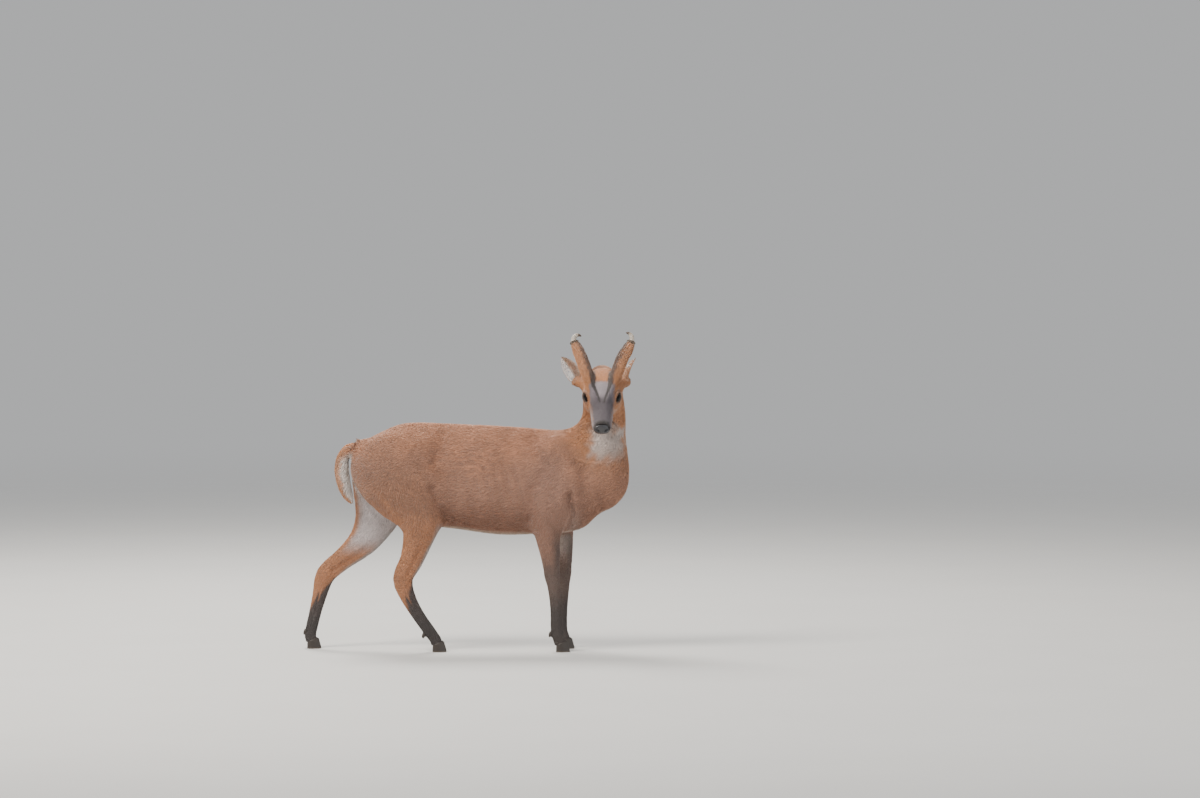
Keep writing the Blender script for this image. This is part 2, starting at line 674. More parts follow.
def head_colours(points, normals):
    """The head's markings, on both sides alike, in its own frame."""
    place = to_head(points)
    facing = normals @ HEAD_AXES.T
    ahead, aside, up = place[:, 0], np.abs(place[:, 1]), place[:, 2]
    folded = np.column_stack([ahead, aside, up])
    blotch = ripple(place, 0.012, 11)
    colour = np.tile(np.array([0.470, 0.200, 0.080]), (len(points), 1))
    grey_half = np.interp(ahead, [-0.02, 0.0, 0.03, 0.06, 0.10], [0.020, 0.029, 0.0285, 0.024, 0.022])
    bridge = fade(aside + 0.0015 * blotch, grey_half + 0.004, grey_half - 0.003)
    bridge *= fade(ahead, -0.016, -0.004) * fade(up, -0.022, -0.008)
    colour = mixed(colour, SLATE, bridge)
    colour = mixed(colour, (0.250, 0.212, 0.235), bridge * fade(ahead, 0.040, 0.012))
    sides = fade(ahead, 0.030, 0.060) * fade(up, 0.010, -0.004) * fade(aside, 0.010, 0.016)
    colour = mixed(colour, (0.330, 0.270, 0.265), 0.85 * sides)
    chin = fade(up, -0.022, -0.034) * fade(ahead, 0.0, 0.050)
    colour = mixed(colour, CREAM, chin)
    throat = fade(facing[:, 2], -0.35, -0.75) * fade(ahead, -0.080, -0.030)
    colour = mixed(colour, CREAM, 0.9 * throat)
    crown = fade(ahead, -0.078, -0.062) * fade(ahead, -0.006, -0.020) * fade(aside, 0.019, 0.013)
    colour = mixed(colour, (0.560, 0.235, 0.095), crown * fade(up, 0.020, 0.034))
    brow = fade(ahead, -0.016, -0.008) * fade(ahead, 0.040, 0.016)
    brow_edges = [np.interp(ahead, [-0.01, 0.04], half) for half in ([0.024, 0.008], [0.018, 0.004])]
    brow *= fade(aside, *brow_edges)
    colour = mixed(colour, LILAC, brow * fade(up, 0.018, 0.028))
    nape = fade(ahead, -0.062, -0.084) * fade(up, 0.004, 0.020) * fade(aside, 0.034, 0.022)
    colour = mixed(colour, UMBER, 0.6 * nape)
    _, spot, gap, _ = nearest_on(STRIPE, folded * (1.0, 1.0, 0.0))
    edge = spot[:, 3] * (1.0 + 0.15 * blotch)
    stripe = fade(gap, edge * 1.25, edge * 0.75)
    colour = mixed(colour, np.array(SOOT) * 1.2, 0.93 * stripe * fade(up, 0.012, 0.022))
    gland = [(0.022, 0.0365, -0.004, 0.0), (0.030, 0.0335, -0.007, 0.0), (0.046, 0.0290, -0.011, 0.0)]
    _, _, gap, _ = nearest_on(gland, folded)
    colour = mixed(colour, np.array(SOOT) * 1.3, 0.85 * hump(gap, 0.0030))
    mouth_up = np.interp(ahead, [0.044, 0.080, 0.105, 0.122], [-0.0290, -0.0236, -0.0212, -0.0205])
    level = np.abs(up - mouth_up)
    lips = hump(level, 0.0016) * fade(ahead, 0.040, 0.050)
    colour = mixed(colour, BLACK_SKIN, lips)
    lower_lip = hump(level, 0.0045) * fade(ahead, 0.078, 0.100)
    colour = mixed(colour, np.array(SOOT), 0.85 * lower_lip)
    muzzle_tip = fade(ahead + 0.25 * up, 0.100, 0.107)
    colour = mixed(colour, np.array(SOOT), 0.95 * muzzle_tip * fade(up, -0.026, -0.020))
    for sign, _ in SIDES:
        eye, axes = eye_frame(sign)
        _, along, upward = ((points - eye) @ axes.T).T
        ring = np.hypot(along, upward)
        beside = place[:, 1] * sign > 0.012
        shade = hump(np.maximum(ring - 0.0115, 0.0), 0.0045) * beside
        colour = mixed(colour, np.array(SOOT) * 1.5, 0.75 * shade)
        under = hump(ring - 0.0180, 0.0028) * beside
        low_outer = fade(upward, 0.004, -0.006) * fade(along, 0.014, -0.004)
        high_outer = 0.2 * fade(upward, 0.003, 0.010) * fade(along, 0.010, -0.004)
        colour = mixed(colour, CREAM, 0.75 * under * np.maximum(low_outer, high_outer))
    return colour


def pedicle_colours(points, normals, sign):
    """A pedicle: orange outside and in front, dark brown-grey on the side that faces the other one."""
    facing = normals @ HEAD_AXES.T
    inner = fade(-facing[:, 1] * sign + 0.18 * ripple(points, 0.010, 17), -0.05, 0.55)
    behind = fade(facing[:, 0], -0.10, -0.70)
    colour = np.tile(np.array([0.500, 0.225, 0.105]), (len(points), 1))
    colour = mixed(colour, (0.090, 0.062, 0.052), 0.85 * np.maximum(inner, 0.6 * behind))
    share, _, _, _ = nearest_on(PLACED["right_pedicle" if sign > 0 else "left_pedicle"], points)
    return mixed(colour, (0.400, 0.270, 0.190), 0.5 * fade(share, 0.80, 1.0) * (1.0 - inner))


def trunk_colours(place, normals):
    """A pinkish chestnut back over browner flanks, darker haunches, and a pale belly between the legs."""
    x, y, z = place.T
    drift = 0.12 * ripple(place, 0.060, 21)
    colour = np.tile(np.array((0.320, 0.158, 0.100)), (len(place), 1))
    colour = mixed(colour, (0.450, 0.205, 0.115), fade(normals[:, 2] + drift, 0.05, 0.70))
    colour = mixed(colour, (0.235, 0.105, 0.062), 0.85 * fade(z + 0.08 * drift, 0.400, 0.325))
    shoulder = hump(np.hypot((x - 0.215) / 0.075, (z - 0.420) / 0.105), 1.0)
    colour = mixed(colour, (0.330, 0.180, 0.130), 0.6 * shoulder)
    haunch = hump(np.hypot((x + 0.175) / 0.085, (z - 0.425) / 0.090), 1.0)
    colour = mixed(colour, (0.265, 0.128, 0.076), 0.65 * haunch)
    breast = fade(x, 0.285, 0.345)
    colour = mixed(colour, (0.400, 0.195, 0.120), 0.6 * breast * fade(z, 0.36, 0.42))
    hip = hump(x + 0.082 + 0.25 * (z - 0.50), 0.011) * fade(z, 0.42, 0.47) * fade(z, 0.55, 0.52)
    colour = mixed(colour, UMBER, 0.35 * hip)
    belly = fade(normals[:, 2], -0.78, -0.95) * fade(np.abs(y), 0.046, 0.026)
    colour = mixed(colour, (0.420, 0.320, 0.250), 0.7 * belly)
    rump = fade(x, -0.262, -0.285) * fade(z, 0.505, 0.480) * fade(np.abs(y), 0.036, 0.022)
    colour = mixed(colour, CREAM, 0.85 * rump)
    armpit = hump(np.hypot((x - 0.262) / 0.022, (z - 0.325) / 0.032), 1.0)
    return mixed(colour, (0.430, 0.350, 0.310), 0.55 * armpit)


def neck_colours(place, normals):
    """An orange-brown neck, with a white throat on the side turned to where the head looks."""
    x, _, z = place.T
    colour = np.tile(np.array([0.430, 0.190, 0.085]), (len(place), 1))
    front = normals @ unit(np.array([0.18, -0.98, 0.0]))
    edge = 0.008 * ripple(place, 0.025, 23)
    throat = fade(z + edge, 0.462, 0.512) * fade(x + edge, 0.296, 0.322) * fade(x + edge, 0.398, 0.376)
    throat *= fade(z + edge, 0.585, 0.550)
    return mixed(colour, (0.540, 0.480, 0.450), 0.90 * throat * fade(front, 0.15, 0.55))


def tail_colours(place, normals):
    """A tail orange on the back and sides, and white in front, where it lies on the rump."""
    colour = np.tile(np.array([0.520, 0.215, 0.085]), (len(place), 1))
    front = fade(normals[:, 0] + 0.15 * ripple(place, 0.012, 29), 0.05, 0.45)
    return mixed(colour, (0.760, 0.710, 0.680), 0.95 * front * fade(place[:, 2], 0.520, 0.500))


def fore_colours(place, normals):
    """A foreleg that darkens downwards, first in front, and is paler inside above."""
    _, y, z = place.T
    colour = np.tile(np.array([0.300, 0.155, 0.105]), (len(place), 1))
    inside = fade(-normals[:, 1] * np.sign(y), 0.25, 0.75) * fade(z, 0.20, 0.27)
    colour = mixed(colour, (0.420, 0.350, 0.310), 0.8 * inside)
    front = fade(normals[:, 0], 0.0, 0.7) * fade(z, 0.335, 0.260)
    colour = mixed(colour, (0.095, 0.068, 0.058), 0.8 * front)
    colour = mixed(colour, (0.140, 0.092, 0.074), fade(z, 0.270, 0.190))
    return mixed(colour, (0.062, 0.048, 0.043), fade(z, 0.175, 0.095))


def hind_colours(place, normals, line):
    """A hindleg: chestnut outside, white inside the thigh, and black down the front of the cannon."""
    _, y, z = place.T
    side = normals[:, 1] * np.sign(y)
    _, _, _, way = nearest_on(line, place + HOME)
    front = (normals * forward_of(way)).sum(1)
    colour = np.tile(np.array(CHESTNUT), (len(place), 1))
    colour = mixed(colour, (0.265, 0.128, 0.076), 0.8 * fade(z, 0.30, 0.38))
    colour = mixed(colour, (0.470, 0.205, 0.095), 0.7 * fade(front, -0.30, -0.75))
    inside = fade(-side + 0.15 * ripple(place, 0.03, 31), 0.0, 0.5) * fade(z, 0.232, 0.290)
    colour = mixed(colour, (0.560, 0.520, 0.530), 0.9 * inside * fade(front, -0.80, -0.35))
    strip = fade(front, 0.55, 0.90) * fade(z, 0.175, 0.215) * fade(z, 0.345, 0.315)
    colour = mixed(colour, (0.340, 0.330, 0.330), 0.75 * strip)
    black = fade(front + 22.0 * (0.150 - z), -0.10, 0.45) * fade(z, 0.225, 0.175)
    colour = mixed(colour, (0.050, 0.042, 0.042), 0.95 * black)
    return mixed(colour, (0.052, 0.042, 0.040), fade(z, 0.125, 0.065))


def pelt(points, normals):
    """The coat's colour at points: each part's own markings, mixed where the parts meet."""
    place = points - HOME
    share = belonging(points)
    colour = np.zeros((len(points), 3))
    for i, name in enumerate(PARTS):
        if name == "trunk":
            here = trunk_colours(place, normals)
        elif name == "neck":
            here = neck_colours(place, normals)
        elif name == "head":
            here = head_colours(points, normals)
        elif name == "tail":
            here = tail_colours(place, normals)
        elif "pedicle" in name:
            here = pedicle_colours(points, normals, 1 if name.startswith("right") else -1)
        elif "fore" in name:
            here = fore_colours(place, normals)
        else:
            here = hind_colours(place, normals, PLACED[name])
        colour += share[i][:, None] * here
    cloud = 1.0 + 0.055 * ripple(points, 0.070, 3) + 0.045 * ripple(points, 0.022, 5)
    return np.clip(colour * cloud[:, None], 0.004, 1.0)


# The skin

LEGS = ("right_fore", "left_fore", "right_hind", "left_hind")
FLESH = ["torso", "neck", "head", "nose", "pedicle_right", "pedicle_left"]
FLESH += [f"{leg}_{part}" for leg in LEGS for part in ("leg", "shank")]


def tail_core():
    """The tail under its hair: ovals, wider than deep, carried along its own line from in the rump."""
    root = PLACED["tail"][0] + (0.030, 0.0, -0.012, -0.003)
    line = smooth_line(np.vstack([root, PLACED["tail"]]), 30)
    _, across, deep = frame_along(line[:, :3], np.array([0.0, 1.0, 0.0]))
    turn = np.linspace(0, 2 * math.pi, 20, endpoint=False)
    radius = line[:, 3, None, None]
    wide = 1.10 * radius * np.cos(turn)[None, :, None] * across[:, None]
    thick = 0.90 * radius * np.sin(turn)[None, :, None] * deep[:, None]
    return line[:, None, :3] + wide + thick


def fused_flesh():
    """All flesh as one closed surface: the nodes swollen until they meet, then drawn on a fine grid."""
    whole = bmesh.new()
    for node in FLESH:
        bm = bmesh.new()
        bm.from_mesh(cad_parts[node].data)
        bmesh.ops.remove_doubles(bm, verts=bm.verts, dist=1e-5)
        bm.normal_update()
        swollen = bpy.data.meshes.new("swollen")
        bm.to_mesh(swollen)
        bm.free()
        points, normals, _ = read(swollen)
        write(swollen, points + FLESH_SWELL * normals)
        whole.from_mesh(swollen)
        bpy.data.meshes.remove(swollen)
    core = ring_piece("core", tail_core(), None)
    whole.from_mesh(core.data)
    bpy.data.objects.remove(core)
    mesh = bpy.data.meshes.new("flesh")
    whole.to_mesh(mesh)
    whole.free()
    return reshaped(mesh, "REMESH", {"mode": "VOXEL", "voxel_size": VOXEL})


def reshaped(mesh, kind, settings, weights=None):
    """The mesh after one modifier, whose settings may use weights kept as a vertex group."""
    helper = link("helper", mesh)
    if weights is not None:
        group = helper.vertex_groups.new(name="free")
        group.add(np.flatnonzero(weights).tolist(), 1.0, "REPLACE")
    modifier = helper.modifiers.new("Change", kind)
    for name, value in settings.items():
        setattr(modifier, name, value)
    bpy.context.view_layer.update()
    made = bpy.data.meshes.new_from_object(helper.evaluated_get(bpy.context.evaluated_depsgraph_get()))
    bpy.data.objects.remove(helper)
    return made


def eye_distance(points):
    """Each point's distance from the middle of the nearer eye."""
    return np.min([np.linalg.norm(points - eye_frame(sign)[0], axis=1) for sign, _ in SIDES], axis=0)


NOSE_MIDDLE = np.array([0.103, 0.0, 0.0])
NOSE_LOOK = unit(np.array([0.975, 0.0, 0.22]))
NOSE_BALLS = (
    ((0.103, 0.0, 0.0035), (0.0155, 0.0195, 0.0145)),
    ((0.104, 0.0, -0.0025), (0.0165, 0.0215, 0.0165)),
)
NOSE_EDGE = 1.18
NOSE_SINK = 0.0032

# The gland in front of an eye, in the head's frame
GLAND = [(0.021, 0.0370, -0.0040), (0.030, 0.0335, -0.0070), (0.044, 0.0295, -0.0105)]

# The middle of the sculpted head, and how far from it the sculpting ends and is full
HEAD_MIDDLE = (0.02, 0.0, 0.0)
HEAD_REACH = (0.112, 0.100)

# How much each part's flesh is smoothed, in the order of PARTS
EASE = np.array([0.50, 0.40, 0.30, 0.30, 0.30, 0.30, 0.10, 0.045, 0.08, 0.08])

# The body's folds: x and z along each, its width and depth, how far aside it starts and is full,
# and whether it is on the right side only
FOLDS = [
    ([(0.252, 0.395), (0.262, 0.345), (0.250, 0.305)], 0.009, 0.0075, 0.030, 0.045, False),
    ([(0.150, 0.330), (0.166, 0.360), (0.160, 0.410)], 0.013, 0.0055, 0.030, 0.050, False),
    ([(0.160, 0.535), (0.190, 0.470), (0.176, 0.420)], 0.015, 0.0050, 0.020, 0.040, False),
    ([(0.255, 0.515), (0.285, 0.455), (0.290, 0.400)], 0.017, 0.0055, 0.016, 0.034, False),
    ([(-0.070, 0.545), (-0.068, 0.510), (-0.085, 0.475)], 0.013, 0.0060, 0.020, 0.040, False),
    ([(-0.046, 0.330), (-0.070, 0.362), (-0.088, 0.410)], 0.012, 0.0065, 0.030, 0.050, False),
    ([(-0.250, 0.430), (-0.215, 0.370), (-0.170, 0.300)], 0.013, 0.0045, 0.040, 0.060, True),
]


def nose_room(turn):
    """How much of the pad's edge angle there is at a turn round its axis: less below and above."""
    return 1.0 - 0.30 * fade(-turn, 0.1, 1.4) - 0.08 * fade(turn, 0.3, 1.4)


def nose_angle(place):
    """How far off the nose's own axis a place lies, in shares of the pad's edge; less room below."""
    way = unit(place - NOSE_MIDDLE)
    angle = np.arccos(np.clip(way @ NOSE_LOOK, -1.0, 1.0))
    up = way[:, 2] - (way @ NOSE_LOOK) * NOSE_LOOK[2]
    turn = np.arctan2(up, np.abs(way[:, 1]))
    return angle / (NOSE_EDGE * nose_room(turn))


def sculpted_body(points, normals):
    """How far the body's flesh stands out or sinks in: folds, tendons, hip and shoulder, knees."""
    x, y, z = (points - HOME).T
    side = np.abs(y)
    right = y < 0
    rise = np.zeros(len(points))

    def crease(line, width, depth, keep):
        place = np.column_stack([x, np.zeros(len(x)), z])
        _, _, gap, _ = nearest_on([(a, 0.0, b) for a, b in line], place)
        return -depth * hump(gap, width) * keep

    for line, width, depth, start, full, right_only in FOLDS:
        keep = fade(side, start, full)
        rise += crease(line, width, depth, right * keep if right_only else keep)
    rise += 0.0055 * hump(np.hypot((x + 0.098) / 0.022, (z - 0.532) / 0.018), 1.0)
    rise += 0.0040 * hump(np.hypot((x - 0.232) / 0.020, (z - 0.400) / 0.030), 1.0)
    ribs = np.sin((x + 0.25 * (z - 0.42)) * 2 * math.pi / 0.026)
    rise += 0.0010 * ribs * fade(x, -0.04, 0.0) * fade(x, 0.16, 0.13) * hump(z - 0.420, 0.075)
    folds = np.sin((z + 0.10 * x + 0.006 * ripple(points, 0.05, 41)) * 2 * math.pi / 0.019)
    rise += 0.0008 * folds * hump(np.hypot((x - 0.01) / 0.085, (z - 0.475) / 0.050), 1.0)
    tendon = fade(np.abs(normals[:, 1]), 0.45, 0.85)
    rise += crease([(-0.118, 0.268), (-0.138, 0.225), (-0.152, 0.196)], 0.0065, 0.0040, right * tendon)
    rise += crease([(-0.268, 0.248), (-0.318, 0.214), (-0.345, 0.196)], 0.0065, 0.0040, ~right * tendon)
    for name in LEGS:
        _, place, gap, way = nearest_on(PLACED[name], points)
        near = gap < 2.0 * place[:, 3]
        low = fade(z, 0.160, 0.130) * fade(z, 0.045, 0.065)
        offset = ((points - place[:, :3]) * forward_of(way)).sum(1)
        rise -= 0.0016 * near * low * tendon * hump(offset + 0.002, 0.0030)
        if "fore" in name:
            rise += 0.0012 * near * hump(z - 0.186, 0.013)
    return rise


def lip_level(ahead, up):
    """How far above the slit of the mouth a place lies."""
    return up - np.interp(ahead, [0.048, 0.080, 0.105, 0.120], [-0.0280, -0.0236, -0.0212, -0.0205])


def sculpted_head(points):
    """How far the head's skin stands out or sinks in: mouth, glands, brow furrows, lid folds."""
    place = to_head(points)
    ahead, aside, up = place[:, 0], np.abs(place[:, 1]), place[:, 2]
    folded = np.column_stack([ahead, aside, up])
    level = lip_level(ahead, up)
    open_to = fade(ahead, 0.042, 0.052)
    rise = -0.0026 * hump(level, 0.0011) * open_to
    rise += 0.0008 * (hump(level - 0.0035, 0.0020) + hump(level + 0.0035, 0.0018)) * open_to
    _, _, gap, _ = nearest_on(GLAND, folded)
    rise += 0.0009 * hump(gap - 0.0035, 0.0018) - 0.0034 * hump(gap, 0.0015)
    furrow = [(-0.014, 0.0225, 0.0435), (0.010, 0.0135, 0.0370), (0.038, 0.0065, 0.0285)]
    _, _, gap, _ = nearest_on(furrow, folded)
    rise += 0.0007 * hump(gap - 0.0030, 0.0016) - 0.0026 * hump(gap, 0.0013)
    for sign, _ in SIDES:
        eye, axes = eye_frame(sign)
        out, along, upward = ((points - eye) @ axes.T).T
        ring = np.hypot(along, upward)
        beside = (place[:, 1] * sign > 0.010) * fade(out, 0.002, 0.008)
        above = fade(upward, -0.002, 0.008)
        rise -= beside * above * 0.0016 * hump(ring - 0.0200, 0.0016)
        rise += beside * above * 0.0010 * hump(ring - 0.0235, 0.0022)
        rise -= beside * (1.0 - above) * 0.0008 * hump(ring - 0.0190, 0.0018)
    cheek = np.sin((ahead * 0.6 + up) * 2 * math.pi / 0.011 + ripple(points, 0.03, 43))
    rise += 0.00025 * cheek * hump(np.hypot((ahead + 0.02) / 0.03, (up + 0.03) / 0.02), 1.0)
    return rise


def hair_lie(points, normals, edges, share):
    """The way the coat lies on the skin: along each part, drooping on the sides of the trunk."""
    way = np.zeros_like(points)
    for i, name in enumerate(PARTS):
        _, _, _, along = nearest_on(PLACED[name], points)
        if name == "trunk":
            x = points[:, 0] - HOME[0]
            droop = 0.30 + 0.45 * hump(x - 0.21, 0.07) + 0.40 * hump(x + 0.17, 0.09)
            along = along + np.column_stack([0 * x, 0 * x, -droop * np.abs(normals[:, 1])])
        way += share[i][:, None] * along
    stray = np.column_stack([ripple(points, 0.045, seed) for seed in (51, 52, 53)])
    way += 0.10 * stray
    for _ in range(4):
        way = unit(way - (way * normals).sum(1)[:, None] * normals)
        way = spread(way, edges, 6)
    return unit(way - (way * normals).sum(1)[:, None] * normals)


def across_line(name, way):
    """The direction across a part's line from which the angle round it is counted."""
    return unit(np.cross(way, (0.0, 0.06, 1.0) if name in ("trunk", "head", "neck") else (1.0, 0.05, 0.0)))


def combing(points, share):
    """Each point in its own part's straightened frame: along its line, across it and square to both."""
    chosen = share.argmax(0)
    combed = np.zeros_like(points)
    for i, name in enumerate(PARTS):
        at = chosen == i
        along, place, _, way = nearest_on(PLACED[name], points[at])
        length = np.linalg.norm(np.diff(PLACED[name][:, :3], axis=0), axis=1).sum()
        across = across_line(name, way)
        deep = np.cross(way, across)
        away = points[at] - place[:, :3]
        combed[at] = np.column_stack([along * length, (away * across).sum(1), (away * deep).sum(1)])
    return combed


class Hide:
    """A surface that carries hair: its points, normals, hair's lie, colours and triangles."""

    def __init__(self, points, normals, ways, colours, triangles):
        self.points = points
        self.normals = normals
        self.ways = ways
        self.colours = colours
        self.triangles = triangles
        self.cell = 2.1 * VOXEL
        self.low = points.min(0) - 3 * self.cell
        self.size = ((points.max(0) - self.low) / self.cell).astype(int) + 5
        keys = self.key(((points - self.low) / self.cell).astype(int))
        self.order = np.argsort(keys, kind="stable")
        self.keys = keys[self.order]
        self.crowd = int(np.unique(self.keys, return_counts=True)[1].max())

    def key(self, cells):
        """One number for each cell of the grid that sorts the points."""
        return np.ravel_multi_index(cells.T, self.size, mode="clip")

    def nearest(self, points, default):
        """The index of the hide's point nearest each point, or the default if none is near it."""
        home = ((points - self.low) / self.cell).astype(int)
        best = np.full(len(points), np.inf)
        found = default.copy()
        shifts = np.stack(np.meshgrid(*[(-1, 0, 1)] * 3), axis=-1).reshape(-1, 3)
        for shift in shifts:
            wanted = self.key(home + shift)
            first = np.searchsorted(self.keys, wanted)
            left = np.flatnonzero(self.keys[np.minimum(first, len(self.keys) - 1)] == wanted)
            for k in range(self.crowd):
                at = first[left] + k
                inside = at < len(self.keys)
                left, at = left[inside], at[inside]
                same = self.keys[at] == wanted[left]
                left, at = left[same], at[same]
                if not len(left):
                    break
                spot = self.order[at]
                gap = ((self.points[spot] - points[left]) ** 2).sum(1)
                better = gap < best[left]
                best[left[better]] = gap[better]
                found[left[better]] = spot[better]
        return found

    def glide(self, points, spots, ways, lengths):
        """Points moved along the surface: a step along their ways, then back on to the hide."""
        moved = points + ways * lengths[:, None]
        spot = self.nearest(moved, spots)
        off = ((moved - self.points[spot]) * self.normals[spot]).sum(1)
        return moved - off[:, None] * self.normals[spot], spot

    def roots(self, spacing, crowd=3.0):
        """Random places on the hide, no two in one cell of the given size, on a grid set askew.

        Returns the places with a corner of their triangle, and their normals, ways and colours, mixed
        from its corners.
        """
        corners = self.points[self.triangles]
        sides = corners[:, 1:] - corners[:, :1]
        area = np.linalg.norm(np.cross(sides[:, 0], sides[:, 1]), axis=1) / 2
        total = int(crowd * area.sum() / spacing.min() ** 2)
        picked = np.searchsorted(np.cumsum(area), rng.uniform(0, area.sum(), total))
        picked = np.minimum(picked, len(area) - 1)
        one, two = np.sqrt(rng.uniform(size=total)), rng.uniform(size=total)
        weights = np.column_stack([1 - one, one * (1 - two), one * two])[:, :, None]
        trio = self.triangles[picked]
        places = (self.points[trio] * weights).sum(1)
        gap = (spacing[trio] * weights[:, :, 0]).sum(1)
        steps = np.round(np.log(gap) / 0.16)
        askew, _ = np.linalg.qr(np.random.default_rng(5).normal(size=(3, 3)))
        cells = np.floor(places @ askew / np.exp(steps * 0.16)[:, None]).astype(int)
        _, first = np.unique(np.column_stack([steps.astype(int), cells]), axis=0, return_index=True)
        weights, trio = weights[first], trio[first]
        normals = unit((self.normals[trio] * weights).sum(1))
        ways = unit((self.ways[trio] * weights).sum(1))
        return places[first], trio[:, 0], normals, ways, (self.colours[trio] * weights).sum(1)


def build_skin():
    """The one skin, and the same surface in full as a hide for the coat."""
    mesh = fused_flesh()
    points, normals, edges = read(mesh)
    share = belonging(points)
    low = fade(points[:, 2] - HOME[2], 0.25, 0.17)
    points = spread(points, edges, 60, (EASE @ share) * (1.0 - 0.82 * low * (share[PARTS.index("trunk")] < 0.5)))
    write(mesh, points)
    points, normals, edges = read(mesh)
    share = belonging(points)
    depth = worn(share, 0) * fineness(points)
    place = to_head(points)
    depth *= fade(eye_distance(points), 0.0195, 0.0260)
    under_pad = fade(nose_angle(place), 0.95, 0.80) * (place[:, 0] > 0.085)
    rise = sculpted_body(points, normals) * (1.0 - share[PARTS.index("head")])
    points = points + (rise - depth - NOSE_SINK * under_pad)[:, None] * normals
    write(mesh, points)
    points, normals, edges = read(mesh)
    off_middle = np.linalg.norm(place - HEAD_MIDDLE, axis=1)
    on_head = off_middle < HEAD_REACH[0]
    sculpt = sculpted_head(points) * fade(off_middle, *HEAD_REACH)
    full = points + sculpt[:, None] * normals
    triangles = read_triangles(mesh)
    refined = (on_face(points)[triangles].all(1)).sum()
    ratio = min(1.0, (SKIN_TRIANGLES - 3.15 * refined) / len(triangles))
    thin = reshaped(mesh, "DECIMATE", {"ratio": ratio, "vertex_group": "free"}, ~on_head)
    skin_mesh = refined_head(thin)
    write(mesh, full)
    points, normals, edges = read(mesh)
    share = belonging(points)
    ways = hair_lie(points, normals, edges, share)
    hide = Hide(points, normals, ways, pelt(points, normals), triangles)
    return skin_mesh, hide


def on_face(points):
    """Which points lie on the face, from the brow to the lips."""
    return np.linalg.norm(to_head(points) - (0.047, 0.0, -0.002), axis=1) < 0.072


def refined_head(mesh):
    """The skin with the triangles of its face quartered, so that lips and folds come out crisp."""
    bm = bmesh.new()
    bm.from_mesh(mesh)
    spots = np.array([v.co for v in bm.verts])
    face = on_face(spots)
    edges = [e for e in bm.edges if all(face[v.index] for v in e.verts)]
    bmesh.ops.subdivide_edges(bm, edges=edges, cuts=1, use_grid_fill=True, smooth=0.0)
    bmesh.ops.triangulate(bm, faces=[f for f in bm.faces if len(f.verts) > 4])
    made = bpy.data.meshes.new("skin")
    bm.to_mesh(made)
    bm.free()
    points, normals, edges = read(made)
    place = to_head(points)
    near = fade(np.linalg.norm(place - HEAD_MIDDLE, axis=1), *HEAD_REACH)
    points = spread(points, edges, 3, 0.5 * near)
    write(made, points)
    points, normals, edges = read(made)
    write(made, points + (sculpted_head(points) * near)[:, None] * normals)
    return made


def bare_mask(points):
    """Where the skin is bare: nose pad, lips, glands, and close round the eyes."""
    place = to_head(points)
    ahead, aside, up = place[:, 0], np.abs(place[:, 1]), place[:, 2]
    lips = hump(lip_level(ahead, up), 0.0014) * fade(ahead, 0.046, 0.056)
    _, _, gap, _ = nearest_on(GLAND, np.column_stack([ahead, aside, up]))
    pad = fade(nose_angle(place), 1.05, 0.97) * (ahead > 0.085)
    return np.maximum.reduce([lips, hump(gap, 0.0017), pad, fade(eye_distance(points), 0.0190, 0.0172)])


# The coat

TUFT_FACES = np.array(
    [(0, 2, 1), (0, 1, 4), (0, 4, 3), (1, 2, 5), (1, 5, 4)]
    + [(2, 0, 3), (2, 3, 5), (3, 4, 6), (4, 5, 6), (5, 3, 6)]
)
TUFT_TONE = np.array([0.90, 0.90, 0.90, 1.0, 1.0, 1.0, 1.08])
TUFT_UV = np.array([(0, 0), (1, 0), (0.5, 0.12), (0, 0.5), (1, 0.5), (0.5, 0.6), (0.5, 1)]) - 0.5

# A tuft's point farther than this from the hide's nearest point is off the hide
ADRIFT = 1.6 * VOXEL


def tuft_points(hide, places, corners, normals, ways, lengths, widths, lifts):
    """Tapered three-sided blades that lie along the hide, as seven points each.

    A blade starts a little under the skin, and its middle and its tip lie half and all of its
    length along the hide from there, lifted off it by a share of the length. A point that would
    leave the hide is drawn back towards the one before it.
    """
    middle, spot = hide.glide(places, corners, ways, lengths * 0.5)
    adrift = np.linalg.norm(middle - hide.points[spot], axis=1) > ADRIFT
    middle = np.where(adrift[:, None], places + 0.3 * (middle - places), middle)
    turned = unit(ways + hide.ways[spot])
    tip, last = hide.glide(middle, spot, turned, lengths * 0.5)
    adrift |= np.linalg.norm(tip - hide.points[last], axis=1) > ADRIFT
    tip = np.where(adrift[:, None], middle + 0.3 * (tip - middle), tip)
    one = places - 0.0005 * normals
    two = middle + (0.62 * lifts * lengths)[:, None] * hide.normals[spot]
    three = tip + (lifts * lengths)[:, None] * hide.normals[last]
    made = np.empty((len(places), 7, 3))
    for start, centre, up, size in ((0, one, normals, 0.80), (3, two, hide.normals[spot], 1.0)):
        across = unit(np.cross(turned, up)) * (widths * size * 0.5)[:, None]
        made[:, start] = centre - across
        made[:, start + 1] = centre + across
        made[:, start + 2] = centre + up * (widths * size * 0.30)[:, None]
    made[:, 6] = three
    return made


